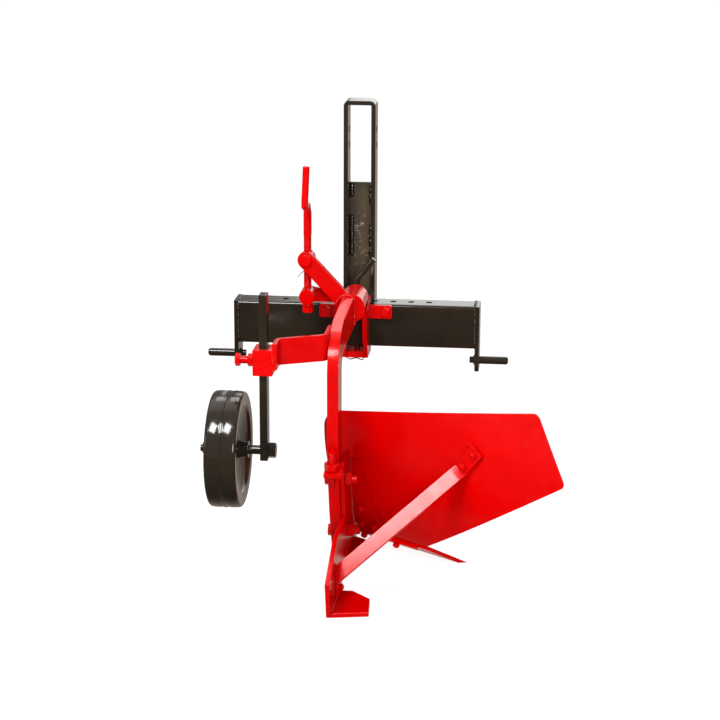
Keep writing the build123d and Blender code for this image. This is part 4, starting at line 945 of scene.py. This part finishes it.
class PLOUGH_OT_fasteners(bpy.types.Operator):
    """Set a turned hex at each bolt head and nut"""
    bl_idname = "plough.fasteners"
    bl_label = "Fasteners"

    def execute(self, context):
        shank = round_form([(-1.0, 1.0), (0.0, 1.0)])
        end = round_form([(0.0, 1.0), (0.88, 1.0), (1.0, 0.8)])
        tree = fastener_tree()
        groups = {}
        for name in HEXES:
            groups.setdefault((body_of[name], slot_of[name]), []).append(name)
        for (body, slot), names in groups.items():
            finish = bpy.data.materials[FINISHES[slot]]
            made = []
            for name in names:
                places = hex_places(name)
                form = hex_form(HEXES[name] != "head", places[0]["bore"] / places[0]["radius"])
                made.append(run_tree(tree, f"{name}_hex", fastener_points(places, HEXES[name] == "bolted"),
                                     {"Hex": form, "Shank": shank, "Bolt End": end, "Finish": finish}))
                bpy.data.objects.remove(form)
            settle(join(f"{body}_fasteners", made), body, slot, *names)
        bpy.data.objects.remove(shank)
        bpy.data.objects.remove(end)
        return {"FINISHED"}


class PLOUGH_OT_threads(bpy.types.Operator):
    """Cut the threads of the levelling screw, the pitch stud and the bolt ends"""
    bl_idname = "plough.threads"
    bl_label = "Threads"

    def execute(self, context):
        steps = context.scene.plough_detail.thread_steps
        tree = thread_tree()
        red, black = (bpy.data.materials[FINISHES[slot]] for slot in ("red_paint", "black_paint"))

        def run(name, start, way, diameter, length, pitch, finish=red):
            place = Vector(start) * MM
            return threaded(tree, name, place, way, diameter * MM, length * MM, pitch * MM, finish, steps)

        bm = bmesh.new()
        rod, rod_steps = (-0.120, -0.146, 0.0), 32
        for profile in ([(0.1662, 0.008), (0.2268, 0.008), (0.2268, 0.011), (0.2285, 0.011)],
                        [(0.3715, 0.011), (0.4388, 0.011)]):
            lathe(bm, profile, rod_steps, rod, (0, 0, 1), closed=False)
        parts = [piece_from(bm, "screw_plain"),
                 run("screw_thread", (-120, -146, 228), (0, 0, 1), 22, 144, 4)]
        settle(join("screw_rod_cut", parts), "screw", slot_of["screw_rod"], "screw_rod")

        up, middle = Vector((0, -0.178802, 0.983885)), Vector((-18, -444.02, -196.88))
        parts = [run("stud_thread", middle + up * 11.72, up, 24, 47.28, 3.4),
                 run("stud_tail", middle - up * 47, up, 12, 58.72, 2.0)]
        settle(join("pitch_stud_cut", parts), "beam", slot_of["pitch_stud"], "pitch_stud")

        parts = [run(f"leg_bolt_end_{index}", (25.5, y, z), (1, 0, 0), 20.6, 15.5, 1.8)
                 for index, (y, z) in enumerate(((-370.93, -240), (-302.03, -408)))]
        settle(join("leg_bolt_ends", parts), "beam", "red_paint")
        bolt = run("clamp_bolt_neck", (-249.9, -491.484, 113), (1, 0, 0), 20.6, 20, 2.5)
        settle(bolt, "clamp_bolt", "red_paint")
        axle = run("axle_end", (-351, -491.484, -128), (-1, 0, 0), 18.5, 5.2, 1.8, black)
        settle(axle, "shank", "black_paint")
        return {"FINISHED"}


class PLOUGH_OT_welds(bpy.types.Operator):
    """Lay the weld beads"""
    bl_idname = "plough.welds"
    bl_label = "Welds"

    def execute(self, context):
        settings = context.scene.plough_detail
        tree = weld_tree()
        for (body, slot, place), lines in weld_runs().items():
            name = f"{place}_welds"
            size, ripple = (MAST_BEAD_SIZE, MAST_RIPPLE) if place == "mast" else (1.0, BEAD_RIPPLE)
            bead = run_tree(tree, name, lines_mesh(name, lines), {
                "Width": size * settings.weld_width, "Step": size * settings.weld_step,
                "Ripple": ripple, "Finish": bpy.data.materials[FINISHES[slot]]})
            settle(bead, body, slot)
        return {"FINISHED"}


class PLOUGH_OT_wires(bpy.types.Operator):
    """Bend the spring clip and the split pin"""
    bl_idname = "plough.wires"
    bl_label = "Wires"

    def execute(self, context):
        thick = context.scene.plough_detail.wire
        clip = [(17, 0, 8.1), (0, 0, 8.1), (-14, 0, 8.1), (-25, 0, 9.5), (-29, 0, 0.5), (-25, 0, -8.5),
                (-15, 0, -8.5), (-6, 0, -4.5), (4, 0, -6), (10, 0, -10), (17, 0, -9)]
        settle(wire_piece("pin_clip_bent", [clip], thick), "locating_pin", slot_of["pin_clip"], "pin_clip")
        pin = []
        for side, end in ((-1, (-146.5, 257.5)), (1, (-137.5, 267.0))):
            y = -146 + 0.9 * side
            pin.append([(-103, -146, 272), (-103, y - 2 * side, 272), (-108, y, 272), (-128, y, 272),
                        (-132, y, 271.5), (-133.5, y, 270), (end[0], y + 2 * side, end[1])])
        settle(wire_piece("split_pin_bent", pin, 0.6 * thick), "screw", slot_of["split_pin"], "split_pin")
        return {"FINISHED"}


# Panel and registration

class PLOUGH_PT_panel(bpy.types.Panel):
    """Pieces of the plough in the order in which they are made"""
    bl_idname = "PLOUGH_PT_panel"
    bl_label = "Single Furrow Plough"
    bl_space_type = "VIEW_3D"
    bl_region_type = "UI"
    bl_category = "Plough"

    def draw(self, context):
        for operator in OPERATORS:
            self.layout.operator(operator.bl_idname)
        for group in ("plough_paint", "plough_detail", "plough_stage"):
            settings = getattr(context.scene, group)
            box = self.layout.box()
            for name in settings.__annotations__:
                box.prop(settings, name)


OPERATORS = (PLOUGH_OT_stage, PLOUGH_OT_paint, PLOUGH_OT_plates, PLOUGH_OT_wheel, PLOUGH_OT_fasteners,
             PLOUGH_OT_threads, PLOUGH_OT_welds, PLOUGH_OT_wires)
CLASSES = (PaintSettings, DetailSettings, StageSettings, *OPERATORS, PLOUGH_PT_panel)


def register():
    for item in CLASSES:
        bpy.utils.register_class(item)
    bpy.types.Scene.plough_paint = PointerProperty(type=PaintSettings)
    bpy.types.Scene.plough_detail = PointerProperty(type=DetailSettings)
    bpy.types.Scene.plough_stage = PointerProperty(type=StageSettings)


def unregister():
    del bpy.types.Scene.plough_stage, bpy.types.Scene.plough_detail, bpy.types.Scene.plough_paint
    for item in reversed(CLASSES):
        bpy.utils.unregister_class(item)


def main():
    register()
    bpy.ops.plough.stage()
    bpy.ops.plough.paint()
    bpy.ops.plough.plates()
    bpy.ops.plough.wheel()
    bpy.ops.plough.fasteners()
    bpy.ops.plough.threads()
    bpy.ops.plough.welds()
    bpy.ops.plough.wires()


if __name__ == "__main__":
    main()
